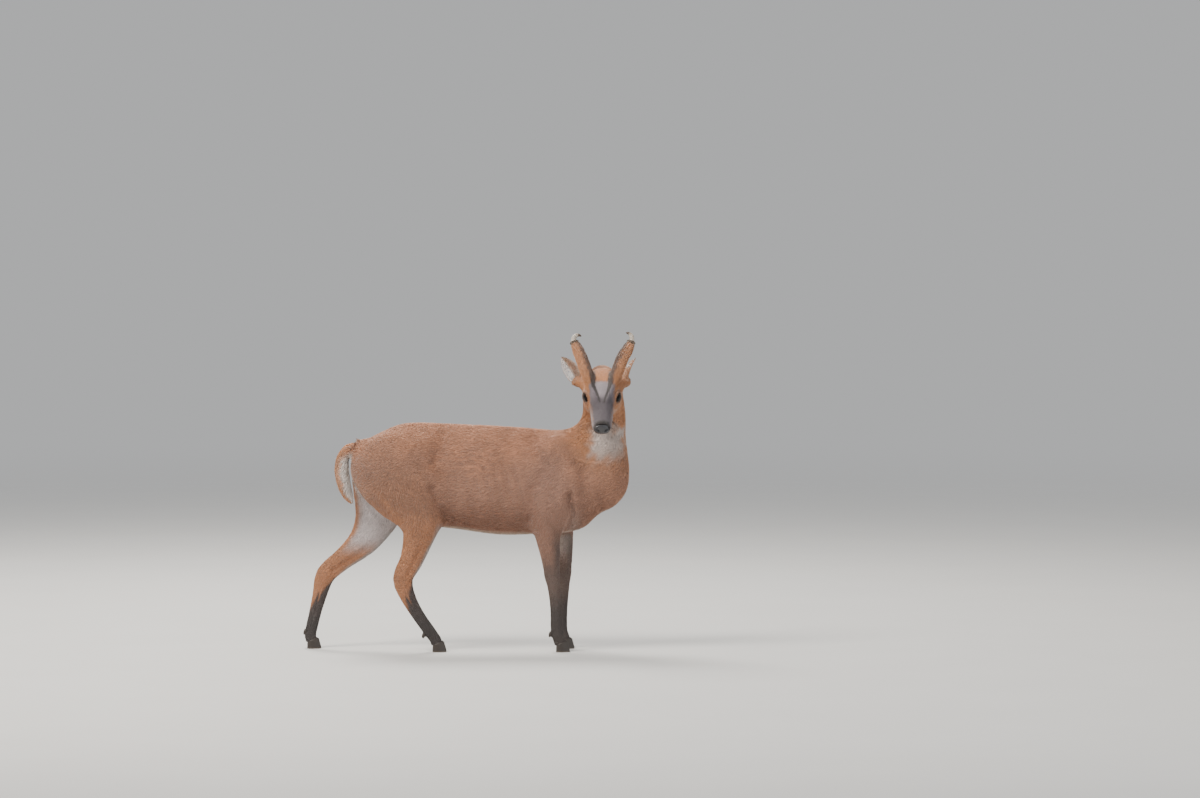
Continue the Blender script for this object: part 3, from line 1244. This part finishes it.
def coat_piece(name, hide, roots, sizes, finish, slot, unwrap):
    """One piece of coat from its roots: each tuft darker at its foot and lighter to its tip."""
    places, corners, normals, ways, colours = roots
    lengths, widths, lifts = sizes
    made = tuft_points(hide, places, corners, normals, ways, lengths, widths, lifts)
    count = len(places)
    faces = (np.arange(count)[:, None, None] * 7 + TUFT_FACES).reshape(-1, 3)
    obj = mesh_piece(name, made.reshape(-1, 3), faces, finish)
    streak = 1.0 + 0.075 * rng.normal(size=(count, 1, 1))
    tinted = colours[:, None] * TUFT_TONE[None, :, None] * streak
    paint(obj.data, "pelt", np.clip(tinted, 0.003, 1.0).reshape(-1, 3))
    layer = obj.data.uv_layers.new(name="OFBake")
    spots = unwrap(places)[:, None] + TUFT_PATCH * TUFT_UV
    layer.data.foreach_set("uv", spots.reshape(-1, 2)[faces.ravel()].astype(np.float32).ravel())
    return dress(obj, slot)


def round_unwrap(name):
    """An unwrap of a part round its own line: along it, and the angle round it."""

    def unwrap(points):
        line = PLACED[name]
        share, place, _, way = nearest_on(line, points)
        across = across_line(name, way)
        away = points - place[:, :3]
        turn = np.arctan2((away * np.cross(way, across)).sum(1), (away * across).sum(1))
        return np.column_stack([0.01 + 0.98 * share, 0.01 + 0.98 * (turn / (2 * math.pi) + 0.5)])

    return unwrap


def build_coat(hide, finish):
    """The coat over the skin, in pieces by part, numbered from back to front."""
    share = belonging(hide.points)
    spacing = worn(share, 3) * fineness(hide.points) / math.sqrt(CROWD)
    places, corners, normals, ways, colours = hide.roots(spacing)
    clear = (bare_mask(places) < 0.35) & (eye_distance(places) > 0.0178)
    clear &= places[:, 2] > 0.0205
    places, corners, normals, ways, colours = (a[clear] for a in (places, corners, normals, ways, colours))
    share = belonging(places)
    fine = fineness(places)
    chosen = share.argmax(0)
    stray = rng.normal(size=places.shape)
    ways = unit(ways + 0.13 * (stray - (stray * normals).sum(1)[:, None] * normals))
    lengths = worn(share, 1) * fine * rng.uniform(0.72, 1.22, len(places))
    widths = worn(share, 2) * np.sqrt(fine) * rng.uniform(0.75, 1.25, len(places)) / math.sqrt(CROWD)
    lifts = worn(share, 4) * rng.uniform(0.45, 1.45, len(places))
    tail, _, _, _ = nearest_on(PLACED["tail"], places)
    grown = np.where(chosen == PARTS.index("tail"), fade(tail, 0.02, 0.35), 1.0)
    lengths *= 0.60 + 0.40 * grown
    lifts *= 0.40 + 0.60 * grown
    for side in ("right_pedicle", "left_pedicle"):
        top, _, _, _ = nearest_on(PLACED[side], places)
        lengths *= np.where(chosen == PARTS.index(side), 1.0 - 0.55 * fade(top, 0.88, 1.0), 1.0)
    for i, name in enumerate(PARTS):
        at = np.flatnonzero(chosen == i)
        at = at[np.argsort(places[at, 0], kind="stable")]
        for number, rows in enumerate(np.array_split(at, -(-len(at) // TUFTS_A_PIECE))):
            sizes = (lengths[rows], widths[rows], lifts[rows])
            roots = tuple(a[rows] for a in (places, corners, normals, ways, colours))
            title = f"coat_{name}_{number + 1}"
            coat_piece(title, hide, roots, sizes, finish, "red_coat", round_unwrap(name))


# The head's own pieces


def eyeball(sign, side, finish):
    """An eye: a ball with the cornea standing out round its outward pole, on a grid of angles."""
    centre, axes = eye_frame(sign)
    angle = np.linspace(0.03, math.pi - 0.03, 40)[:, None]
    turn = np.linspace(0, 2 * math.pi, 64, endpoint=False)[None, :]
    radius = EYE_RADIUS * (1.0 + 0.055 * hump(angle, 0.62)) - 0.0001
    out, along, up = np.cos(angle) + 0 * turn, np.sin(angle) * np.cos(turn), np.sin(angle) * np.sin(turn)
    local = np.stack([out, along, up], axis=2) * radius[:, :, None]
    obj = ring_piece(f"eyeball_{side}", centre + local @ axes, finish)
    points, _, _ = read(obj.data)
    mark(obj.data, "gaze", (points - centre) @ axes.T / EYE_RADIUS)
    return dress(obj, "eye", f"eye_{side}")


LID_REACH = np.array([0.00, 0.00, 0.05, 0.12, 0.22, 0.34, 0.46, 0.58, 0.70, 0.85, 1.00, 1.00, 0.60, 0.20])
LID_RISE = np.array([-0.8, 0.5, 1.25, 1.75, 2.15, 2.6, 3.0, 3.35, 3.5, 3.1, 1.9, 0.9, 0.1, -0.4]) * 0.001


def slit_reach(turn):
    """The angle from an eye's pole to the edge of its lids, at a turn round the pole."""
    slant = turn + 0.12
    return ((np.abs(np.cos(slant)) / 0.80) ** 1.8 + (np.abs(np.sin(slant)) / 0.655) ** 1.8) ** (-1 / 1.8)


def lids(sign, side, finish):
    """Both lids of an eye as one rim: a rounded profile carried round an almond-shaped slit.

    The slit is the curve where the lengths along and up, over its half length and half height,
    raised to 1.8, add up to one. The profile rises from the eyeball to the lid's edge and runs out
    under the face's skin; the upper lid has a crease and stands farther out.
    """
    centre, axes = eye_frame(sign)
    turn = np.linspace(0, 2 * math.pi, 112, endpoint=False)[:, None]
    upper = fade(np.sin(turn), -0.1, 0.5)
    reach = slit_reach(turn) + (0.60 + 0.10 * upper) * LID_REACH[None, :]
    rise = LID_RISE[None, :] * (1.0 + 0.16 * upper)
    rise = rise - 0.0010 * upper * hump(LID_REACH - 0.40, 0.07)[None, :]
    rise = rise - 0.0004 * (1.0 - upper) * hump(LID_REACH - 0.30, 0.06)[None, :]
    radius = EYE_RADIUS + rise
    local = np.stack([np.cos(reach), np.sin(reach) * np.cos(turn), np.sin(reach) * np.sin(turn)], axis=2)
    obj = ring_piece(f"lids_{side}", centre + (local * radius[:, :, None]) @ axes, finish, looped=True)
    points, normals, _ = read(obj.data)
    colours = pelt(points, normals)
    edge = np.tile(LID_REACH, len(turn))
    colours = mixed(colours, BLACK_SKIN, fade(edge, 0.26, 0.14))
    colours = mixed(colours, np.array(SOOT) * 1.4, 0.7 * fade(edge, 0.50, 0.26))
    paint(obj.data, "pelt", colours)
    return dress(obj, "dark_coat")


def blades(roots, ways, normals, lengths, widths, bend, steps=5):
    """Round-backed tapered blades: each runs along its way and bends towards its normal.

    A blade's centre line is its root plus its way times t plus bend times its normal times t
    squared, and three-sided sections shrink along it to a point.
    """
    t = np.linspace(0, 1, steps)[None, :, None]
    line = roots[:, None] + lengths[:, None, None] * (ways[:, None] * t + bend * normals[:, None] * t**2)
    across = unit(np.cross(ways, normals))[:, None, None]
    deep = unit(np.cross(across[:, 0, 0], ways))[:, None, None]
    turn = np.array([0.0, 2.0944, 4.1888])[None, None, :, None]
    size = (widths[:, None, None] * (1.0 - 0.93 * t**1.5) * 0.5)[:, :, None]
    rings = line[:, :, None] + size * (np.cos(turn) * across + np.sin(turn) * deep)
    faces = grid_faces(steps, 3)
    cap = np.array([(0, 2, 1)])
    end = np.array([(0, 1, 2)]) + (steps - 1) * 3
    return rings.reshape(len(roots), -1, 3), faces, np.vstack([cap, end])


def blade_piece(name, groups, finish, colour):
    """One piece of one colour from several sets of blades."""
    points, faces, start = [], [], 0
    for rings, quads, caps in groups:
        count, each = rings.shape[:2]
        offset = start + np.arange(count)[:, None, None] * each
        split = np.vstack([quads[:, [0, 1, 2]], quads[:, [0, 2, 3]], caps])
        faces.append((offset + split).reshape(-1, 3))
        points.append(rings.reshape(-1, 3))
        start += count * each
    obj = mesh_piece(name, np.vstack(points), np.vstack(faces), finish)
    outward(obj.data)
    paint(obj.data, "pelt", np.tile(colour, (start, 1)))
    return obj


def lashes(finish):
    """Lashes on both upper lids: dark blades that leave the lid's edge outwards and curl up."""
    groups = []
    for sign, _ in SIDES:
        centre, axes = eye_frame(sign)
        turn = np.linspace(0.25, math.pi - 0.10, 46) + rng.normal(0, 0.02, 46)
        reach = slit_reach(turn) + 0.06
        local = np.column_stack([np.cos(reach), np.sin(reach) * np.cos(turn), np.sin(reach) * np.sin(turn)])
        roots = centre + (local * (EYE_RADIUS + 0.0012)) @ axes
        lean = np.column_stack([0.5 + 0 * turn, 0.7 * np.cos(turn), -0.1 + 0 * turn])
        ways = unit(local * 0.9 + lean) @ axes
        up = np.tile(axes[2], (len(turn), 1))
        lengths = 0.0075 * np.sin(np.clip(turn, 0.3, 2.9)) ** 0.5 * rng.uniform(0.8, 1.15, len(turn))
        groups.append(blades(roots, ways, up, lengths, np.full(len(turn), 0.00042), 0.45))
    return dress(blade_piece("lashes", groups, finish, np.array(BLACK_SKIN)), "dark_coat")


def whiskers(finish):
    """Whiskers on the lips and chin: thin dark bristles that leave forwards and sideways and droop."""
    groups = []
    for sign, _ in SIDES:
        count = 26
        ahead = rng.uniform(0.070, 0.104, count)
        up = rng.uniform(-0.016, -0.004, count)
        aside = 0.0235 - 0.55 * np.maximum(ahead - 0.088, 0.0)
        roots = from_head(np.column_stack([ahead, sign * aside, up]))
        rise = -0.15 + 0.4 * rng.normal(size=count)
        ways = unit(np.column_stack([0.35 + 0 * ahead, sign * (0.9 + 0 * ahead), rise]))
        down = np.tile(-HEAD_AXES[2], (count, 1))
        lengths = rng.uniform(0.012, 0.026, count)
        groups.append(blades(roots, ways @ HEAD_AXES, down, lengths, np.full(count, 0.00045), 0.35, 6))
    return dress(blade_piece("whiskers", groups, finish, np.array(SOOT)), "dark_coat")


def nose_reach(ways, balls):
    """How far a ray from the nose's middle goes to leave the outer of two ellipsoids."""
    reach = []
    for centre, radii in balls:
        start = (NOSE_MIDDLE - np.array(centre)) / radii
        step = ways / radii
        a, b, c = (step**2).sum(-1), (step * start).sum(-1), start @ start - 1.0
        reach.append((-b + np.sqrt(b * b - a * c)) / a)
    one, two = reach
    soft = 0.004
    share = np.clip(0.5 + 0.5 * (one - two) / soft, 0.0, 1.0)
    return two + (one - two) * share + soft * share * (1.0 - share)


def nose_pad(finish, hide):
    """The bare nose: a cap of the muzzle's own end, with comma nostrils and a groove between them.

    On a grid of the angle off the nose's axis and the turn round it, each point lies where a ray
    from the middle leaves the muzzle, moved along the ray to the skin as it was before it was sunk
    for the pad. Bells of distance sink the nostrils and the groove and raise the nostrils' rims,
    and the edge dips under the skin.
    """
    share = np.linspace(0.012, 1.0, 84)[:, None]
    turn = np.linspace(0, 2 * math.pi, 150, endpoint=False)[None, :]
    upright = np.cross(NOSE_LOOK, (0.0, 1.0, 0.0)) * -1.0
    height = np.sin(turn)
    lean = np.arctan2(height, np.abs(np.cos(turn)))
    angle = share * NOSE_EDGE * nose_room(lean)
    ways = (
        np.cos(angle)[:, :, None] * NOSE_LOOK
        + (np.sin(angle) * np.cos(turn))[:, :, None] * np.array([0.0, 1.0, 0.0])
        + (np.sin(angle) * height)[:, :, None] * upright
    ).reshape(-1, 3)
    reach = nose_reach(ways, NOSE_BALLS)
    place = NOSE_MIDDLE + ways * reach[:, None]
    folded = np.column_stack([place[:, 0], np.abs(place[:, 1]), place[:, 2]])
    comma = [(0.1180, 0.0085, 0.0005), (0.1160, 0.0120, 0.0015)]
    comma += [(0.1120, 0.0155, 0.0045), (0.1070, 0.0180, 0.0065)]
    _, spot, gap, _ = nearest_on(comma, folded)
    wide = np.interp(spot[:, 0], [0.107, 0.112, 0.118], [0.0011, 0.0020, 0.0027])
    edge = np.tile(share, (1, turn.shape[1])).ravel()
    rise = -0.0065 * hump(gap, wide) + 0.0008 * hump(gap - 0.0042, 0.0015)
    rise -= 0.0009 * hump(folded[:, 1], 0.0007) * fade(place[:, 2], 0.002, -0.003)
    rise += 0.0007 * hump(np.hypot(folded[:, 1], place[:, 2] - 0.008), 0.007)
    rise += 0.0006 - 0.0034 * fade(edge, 0.93, 1.0)
    near = hide.nearest(from_head(place), np.full(len(place), -1))
    facing = hide.normals[near] @ HEAD_AXES.T
    off = ((to_head(hide.points[near]) - place) * facing).sum(1) / np.maximum((ways * facing).sum(1), 0.4)
    off = np.clip(np.where(near >= 0, off, 0.0), -0.003, 0.005)
    off = (off + NOSE_SINK * fade(nose_angle(place), 0.95, 0.80)).reshape(len(share), -1)
    for _ in range(30):
        ends = np.vstack([off[:1], off, off[-1:]])
        off = 0.4 * off + 0.15 * (np.roll(off, 1, 1) + np.roll(off, -1, 1) + ends[:-2] + ends[2:])
    place = place + ways * (rise + off.ravel())[:, None]
    rings = from_head(place).reshape(len(share), turn.shape[1], 3)
    back = np.tile(from_head(NOSE_MIDDLE - 0.004 * NOSE_LOOK), (1, turn.shape[1], 1))
    shrunk = rings[-1:] * 0.5 + back * 0.5
    obj = ring_piece("nose_pad", np.vstack([rings, shrunk]), finish)
    grade(obj.data, "furrow", np.concatenate([hump(gap, wide * 1.15), np.zeros(turn.shape[1] + 2)]))
    return dress(obj, "dark_coat")


# Ears

EAR_LENGTH = 0.082
EAR_WIDE = (
    [-0.10, -0.08, -0.04, 0.0, 0.12, 0.28, 0.45, 0.62, 0.78, 0.90, 0.97, 1.0],
    [0.0012, 0.0045, 0.0078, 0.0098, 0.0125, 0.0178, 0.0205, 0.0194, 0.0150, 0.0092, 0.0044, 0.0012],
)
EAR_BACK = (
    [-0.10, -0.08, -0.04, 0.0, 0.12, 0.45, 0.80, 1.0],
    [0.0012, 0.0045, 0.0078, 0.0098, 0.0118, 0.0115, 0.0060, 0.0010],
)
EAR_FRONT = (
    [-0.10, -0.08, -0.04, 0.0, 0.12, 0.24, 0.45, 0.80, 1.0],
    [0.0012, 0.0045, 0.0078, 0.0096, 0.0098, -0.0060, -0.0092, -0.0042, -0.0001],
)


def ear_axes(sign):
    """An ear's root and its axes up, across and out of its cup. The left one is laid back."""
    if sign > 0:
        up, mouth = np.array([-0.063, 0.040, 0.027]), np.array([0.55, 0.50, 0.62])
    else:
        up, mouth = np.array([-0.075, -0.024, 0.012]), np.array([-0.09, -0.85, -0.35])
    up = unit(up)
    mouth = unit(mouth - (mouth @ up) * up)
    root = from_head((-0.060, 0.059 * sign, -0.016))
    return root, up @ HEAD_AXES, np.cross(up, mouth) @ HEAD_AXES, mouth @ HEAD_AXES


def ear_places(sign, along, lean, behind):
    """Places on an ear: a half oval behind, and in front a line that sinks into the cup."""
    root, up, across, mouth = ear_axes(sign)
    wide = np.interp(along, *EAR_WIDE)
    deep = -np.interp(along, *EAR_BACK) if behind else np.interp(along, *EAR_FRONT)
    rim = 0.0 if behind else np.interp(along, [0.0, 0.12, 0.25, 1.0], [0.0, 0.0, 0.0014, 0.0005])
    turn = np.radians(86) * lean
    bow = 0.004 * np.sin(math.pi * along)
    curl = 0.0012 * np.sin(3.2 * lean + 5.0 * along) * np.sin(math.pi * along)
    rib = 0.0 if behind else 0.0006 * np.cos(lean * 15.0) * fade(along, 0.25, 0.45) * (1.0 - lean**2)
    off = deep * np.cos(turn) - bow + curl + rib
    return (
        root
        + up * (EAR_LENGTH * along)[..., None]
        + across * ((wide - rim) * np.sin(turn))[..., None]
        + mouth * off[..., None]
    )


def ear_colours(along, lean, behind):
    """Orange-brown outside with a darker tip; inside white on the outer half and tan on the inner."""
    flat, across = along.ravel(), lean.ravel()
    colour = np.tile(np.array([0.430, 0.215, 0.115]), (flat.size, 1))
    colour = mixed(colour, (0.160, 0.100, 0.075), 0.6 * fade(flat, 0.70, 1.0))
    if behind:
        return colour
    cup = np.tile(np.array([0.380, 0.235, 0.165]), (flat.size, 1))
    cup = mixed(cup, (0.780, 0.750, 0.740), fade(across, -0.10, 0.30))
    cup = mixed(cup, (0.600, 0.500, 0.430), 0.7 * fade(across, -0.70, -0.95))
    cup = mixed(cup, (0.230, 0.150, 0.120), 0.6 * hump(across + 0.2, 0.22) * fade(flat, 0.60, 0.30))
    return mixed(cup, colour, fade(flat, 0.24, 0.14))


def ear(sign, side, finish, coat):
    """One ear: a thin cup of hide, short hair lying to its tip outside, and long pale hair inside."""
    along = np.concatenate([np.linspace(-0.10, 0.16, 12), np.linspace(0.18, 1.0, 46)])[:, None]
    lean = np.linspace(-1, 1, 33)[None, :]
    grid = (along + 0 * lean, lean + 0 * along)
    outer = ear_places(sign, *grid, True)
    inner = ear_places(sign, *grid, False)[:, ::-1]
    rings = np.concatenate([outer, inner], axis=1)
    obj = ring_piece(f"ear_cup_{side}", rings, finish)
    outer_colour = ear_colours(*grid, True).reshape(*outer.shape)
    inner_colour = ear_colours(*grid, False).reshape(*inner.shape)[:, ::-1]
    colours = np.concatenate([outer_colour, inner_colour], axis=1).reshape(-1, 3)
    colours = np.vstack([colours, colours[:1], colours[-1:]])
    paint(obj.data, "pelt", colours)
    dress(obj, "red_coat", f"ear_{side}")
    points, normals, _ = read(obj.data)
    _, up, across, _ = ear_axes(sign)
    shares = np.append(np.repeat(along.ravel(), 2 * lean.size), [-0.10, 1.0])
    leans = np.append(np.tile(np.concatenate([lean.ravel(), lean.ravel()[::-1]]), along.size), [0.0, 0.0])
    within = np.append(np.tile(np.repeat([False, True], lean.size), along.size), [False, False])
    sideways = np.where(within, -np.sign(leans) * 0.9 * fade(np.abs(leans), 0.2, 0.8), 0.25 * leans)
    ways = up + sideways[:, None] * across
    ways = unit(ways - (ways * normals).sum(1)[:, None] * normals)
    hide = Hide(points, normals, ways, colours, read_triangles(obj.data))
    spacing = np.where(within, 0.0017, 0.0016) / math.sqrt(CROWD)
    places, near, spots, lie, tint = hide.roots(spacing)
    inside = within[near]
    rim = np.abs(leans[near])
    inside &= shares[near] > 0.17
    keep = ~inside | (rng.uniform(size=len(near)) < 0.35 + 0.65 * fade(rim, 0.3, 0.8))
    places, spots, lie, tint, near, inside = (a[keep] for a in (places, spots, lie, tint, near, inside))
    taper = 1.0 - 0.45 * shares[near]
    lengths = np.where(inside, 0.0125, 0.0065) * taper * rng.uniform(0.7, 1.2, len(near))
    widths = np.where(inside, 0.0010, 0.0012) * rng.uniform(0.8, 1.2, len(near)) / math.sqrt(CROWD)
    lifts = np.where(inside, 0.26, 0.12) * rng.uniform(0.5, 1.4, len(near))

    def unwrap(points):
        at = hide.nearest(points, near)
        return np.column_stack([0.01 + 0.98 * shares[at], 0.25 + 0.22 * leans[at] + 0.5 * within[at]])

    roots = (places, near, spots, lie, tint)
    coat_piece(f"coat_ear_{side}", hide, roots, (lengths, widths, lifts), coat, "red_coat", unwrap)


# Antlers and hooves

ANTLERS = {1: (0.036, 165), -1: (0.036, 115)}


def antler(sign, side, finish):
    """A short hook of bone on a burr: rings carried up the pedicle's line and bent over inwards.

    The heading turns by the bend times t to the 1.3, and the radius falls from burr to tip. Two
    rows of pearls stand out of the burr, and furrows run up the shaft.
    """
    line = PLACED[f"{side}_pedicle"][:, :3]
    way = unit(line[-1] - line[-2])
    foot = line[-1] + way * 0.0002
    inward = -sign * RIGHTWARD
    inward = unit(inward - (inward @ way) * way)
    length, bend = ANTLERS[sign]
    t = np.linspace(0.0, 1.0, 90)
    heading = math.radians(bend) * t**1.3
    course = np.cos(heading)[:, None] * way + np.sin(heading)[:, None] * inward
    path = foot + np.vstack([np.zeros(3), np.cumsum((course[1:] + course[:-1]) / 2 * length / 89, axis=0)])
    _, across, deep = frame_along(path, np.cross(way, inward))
    turn = np.linspace(0, 2 * math.pi, 72, endpoint=False)[None, :]
    thick = [0.0078, 0.0063, 0.0053, 0.0037, 0.0020, 0.0008]
    shaft = np.interp(t, [0.0, 0.2, 0.5, 0.8, 0.95, 1.0], thick)[:, None]
    burr = 0.0044 * hump(t - 0.055, 0.062)[:, None]
    pearls = (0.5 + 0.5 * np.cos(13 * turn + 0.8 * np.sin(3 * turn))) * (0.6 + 0.4 * np.cos(5 * turn + 1.0))
    furrows = np.cos(9 * turn + 2.0 * t[:, None] + 0.7 * np.sin(2 * turn)) * fade(t, 0.08, 0.2)[:, None]
    furrows = furrows * fade(t, 0.95, 0.6)[:, None]
    radius = shaft + burr * (0.72 + 0.55 * pearls) + 0.00032 * furrows
    circle = np.cos(turn)[..., None] * across[:, None] + np.sin(turn)[..., None] * deep[:, None]
    rings = path[:, None] + radius[..., None] * circle
    plug = rings[:1] - way * 0.004 - (rings[:1] - foot) * 0.25
    obj = ring_piece(f"antler_bone_{side}", np.vstack([plug, rings]), finish)
    low = np.clip(0.5 - 0.5 * furrows, 0.0, 1.0) * 0.55
    low = low + hump(t - 0.05, 0.07)[:, None] * (0.95 - 0.6 * pearls)
    low = np.clip(low + 1.2 * fade(t, 0.66, 0.90)[:, None], 0.0, 1.0)
    grade(obj.data, "furrow", np.concatenate([np.ones(turn.size), low.ravel(), [1.0, 1.0]]))
    return dress(obj, "horn", f"antler_{side}")


def hoof(node, finish):
    """One hoof: pointed egg-shaped sections from the sloping coronet to a flat sole.

    A section's width falls to the front as a cosine, its wall flares downwards with small growth
    rings, and its rim is rounded under to the sole.
    """
    low, high = (np.array(corner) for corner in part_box(node))
    middle, half = (low + high) / 2, (high - low) / 2
    turn = np.linspace(0, 2 * math.pi, 44, endpoint=False)
    share = [-0.30, -0.12, 0.0, 0.03, 0.10, 0.2, 0.3, 0.4, 0.5, 0.6, 0.7, 0.8, 0.88, 0.94, 0.98, 1.0, 1.0]
    share = np.array(share)[:, None]
    swell = 0.76 + 0.21 * np.clip(share, 0, 1) + 0.0022 * np.sin(share * 34.0)
    swell = swell * np.where(share < 0, 0.80, 1.0) * np.where(share > 0.97, 1.0 - 1.2 * (share - 0.97), 1.0)
    swell[-1] *= 0.55
    reach = half[0] * swell * (np.cos(turn) * (1.0 + 0.04 * np.cos(turn) ** 3))
    width = half[1] * swell * np.sin(turn) * (0.95 - 0.34 * np.cos(turn) - 0.10 * np.cos(turn) ** 2)
    x = low[0] + 0.93 * half[0] + reach + 0.0030 * np.clip(share, 0, 1)
    x = np.clip(x, low[0] + 0.0002, high[0] + 0.001)
    lid = high[2] - 0.0068 + 0.269 * (x - low[0])
    level = np.where(share < 0, lid - share * 0.012, lid * (1.0 - share))
    level = np.maximum(level, 0.0)
    rings = np.stack([x, middle[1] + width, level], axis=2)
    return dress(ring_piece(f"{node}_horn", rings, finish), "hoof", node)


def dewclaws(finish):
    """Eight small horn cones behind the fetlocks, two to a foot, pointing down and back."""
    t = np.linspace(0.0, 1.0, 10)[:, None]
    turn = np.linspace(0, 2 * math.pi, 16, endpoint=False)[None, :]
    size = np.interp(t, [0.0, 0.4, 0.8, 1.0], [0.0042, 0.0044, 0.0030, 0.0010])
    points, faces, start = [], [], 0
    for name in LEGS:
        fetlock = PLACED[name][-2, :3]
        for out in (-1, 1):
            foot = fetlock + (-0.0135, 0.0080 * out, -0.0035)
            way = unit(np.array([-0.42, 0.10 * out, -0.90]))
            across = unit(np.cross(way, (0.0, 1.0, 0.0)))
            deep = np.cross(way, across)
            line = foot + way * t * 0.0125
            circle = np.cos(turn)[..., None] * across + np.sin(turn)[..., None] * deep
            rings = line[:, None] + size[..., None] * circle
            helper = ring_piece("claw", rings, finish)
            corners = [list(face.vertices) for face in helper.data.polygons]
            faces += [[start + i for i in corner] for corner in corners]
            cloud, _, _ = read(helper.data)
            points.append(cloud)
            start += len(cloud)
            bpy.data.objects.remove(helper)
    mesh = bpy.data.meshes.new("dewclaws")
    mesh.from_pydata(np.vstack(points).tolist(), [], faces)
    mesh.shade_smooth()
    mesh.materials.append(finish)
    return dress(link("dewclaws", mesh), "hoof")


# Stage


def build_stage():
    """A plain pale floor that melts into a pale surround, and soft lights."""
    made = Finish("studio_floor", {"Specular IOR Level": 0.2})
    where = made.place((1.0, 1.0, 1.0))
    dust = made.noise(where, 3.0, 3.0)
    colour = made.mix(dust, (0.66, 0.655, 0.64), (0.70, 0.695, 0.68))
    reach = made.add("ShaderNodeVectorMath", {"operation": "LENGTH"}, {0: where}, 1)
    finish = made.wear(Base_Color=colour, Roughness=0.85 + dust * 0.1, Alpha=1.0 - reach.over(2.0, 9.0))
    edge = np.array([(-1, -1, 0), (1, -1, 0), (1, 1, 0), (-1, 1, 0)]) * 10.0
    mesh_piece("floor", edge, [(0, 1, 2, 3)], finish)
    world = bpy.data.worlds.new("studio")
    bpy.context.scene.world = world
    world.use_nodes = True
    world.node_tree.nodes["Background"].inputs["Color"].default_value = (0.90, 0.91, 0.92, 1.0)
    world.node_tree.nodes["Background"].inputs["Strength"].default_value = 0.55
    soft_light("key", (-2.2, -2.2, 4.2), (0.0, 0.0, 0.42), 1.8, 260.0, (1.0, 0.94, 0.86))
    soft_light("fill", (3.4, -3.4, 1.8), (0.0, 0.0, 0.42), 3.0, 45.0, (0.90, 0.95, 1.0))
    soft_light("rim", (-0.8, 2.2, 3.8), (0.0, 0.0, 0.50), 1.6, 190.0, (1.0, 0.96, 0.90))


def soft_light(name, place, target, size, power, colour):
    """A square area light that looks at a target."""
    light = bpy.data.lights.new(name, "AREA")
    light.shape = "SQUARE"
    light.size = size
    light.energy = power
    light.color = colour
    obj = link(name, light)
    obj.location = place
    obj.rotation_euler = (Vector(target) - Vector(place)).to_track_quat("-Z", "Y").to_euler()


def build_camera():
    """The photograph's long lens, a little above level, with the buck left of the middle."""
    camera = link("camera", bpy.data.cameras.new("camera"))
    camera.data.sensor_width = 36.0
    camera.data.lens = 192.0
    camera.data.clip_end = 200.0
    back = Vector((0.0, -math.cos(math.radians(3)), math.sin(math.radians(3))))
    camera.location = Vector((0.3291, 0.0, 0.6325)) + back * 16.0
    camera.rotation_euler = (-back).to_track_quat("-Z", "Y").to_euler()
    bpy.context.scene.camera = camera


def build_all():
    """Every piece of the buck, then the stage."""
    coat, lid = coat_finish(), lid_finish()
    skin_mesh, hide = build_skin()
    points, normals, _ = read(skin_mesh)
    skin = link("skin", skin_mesh)
    skin_mesh.materials.clear()
    skin_mesh.materials.append(skin_finish())
    skin_mesh.shade_smooth()
    paint(skin_mesh, "pelt", pelt(points, normals) * 0.95)
    mark(skin_mesh, "comb", combing(points, belonging(points)))
    grade(skin_mesh, "bare", bare_mask(points))
    dress(skin, "red_coat", *FLESH, "tail")
    build_coat(hide, coat)
    eye, horn, bone, cup = eye_finish(), hoof_finish(), antler_finish(), ear_finish()
    for sign, side in SIDES:
        eyeball(sign, side, eye)
        lids(sign, side, lid)
        ear(sign, side, cup, coat)
        antler(sign, side, bone)
    nose_pad(nose_finish(), hide)
    lashes(lid)
    whiskers(lid)
    for leg in LEGS:
        for place in ("inner", "outer"):
            hoof(f"{leg}_hoof_{place}", horn)
    dewclaws(horn)
    build_stage()
    build_camera()


build_all()
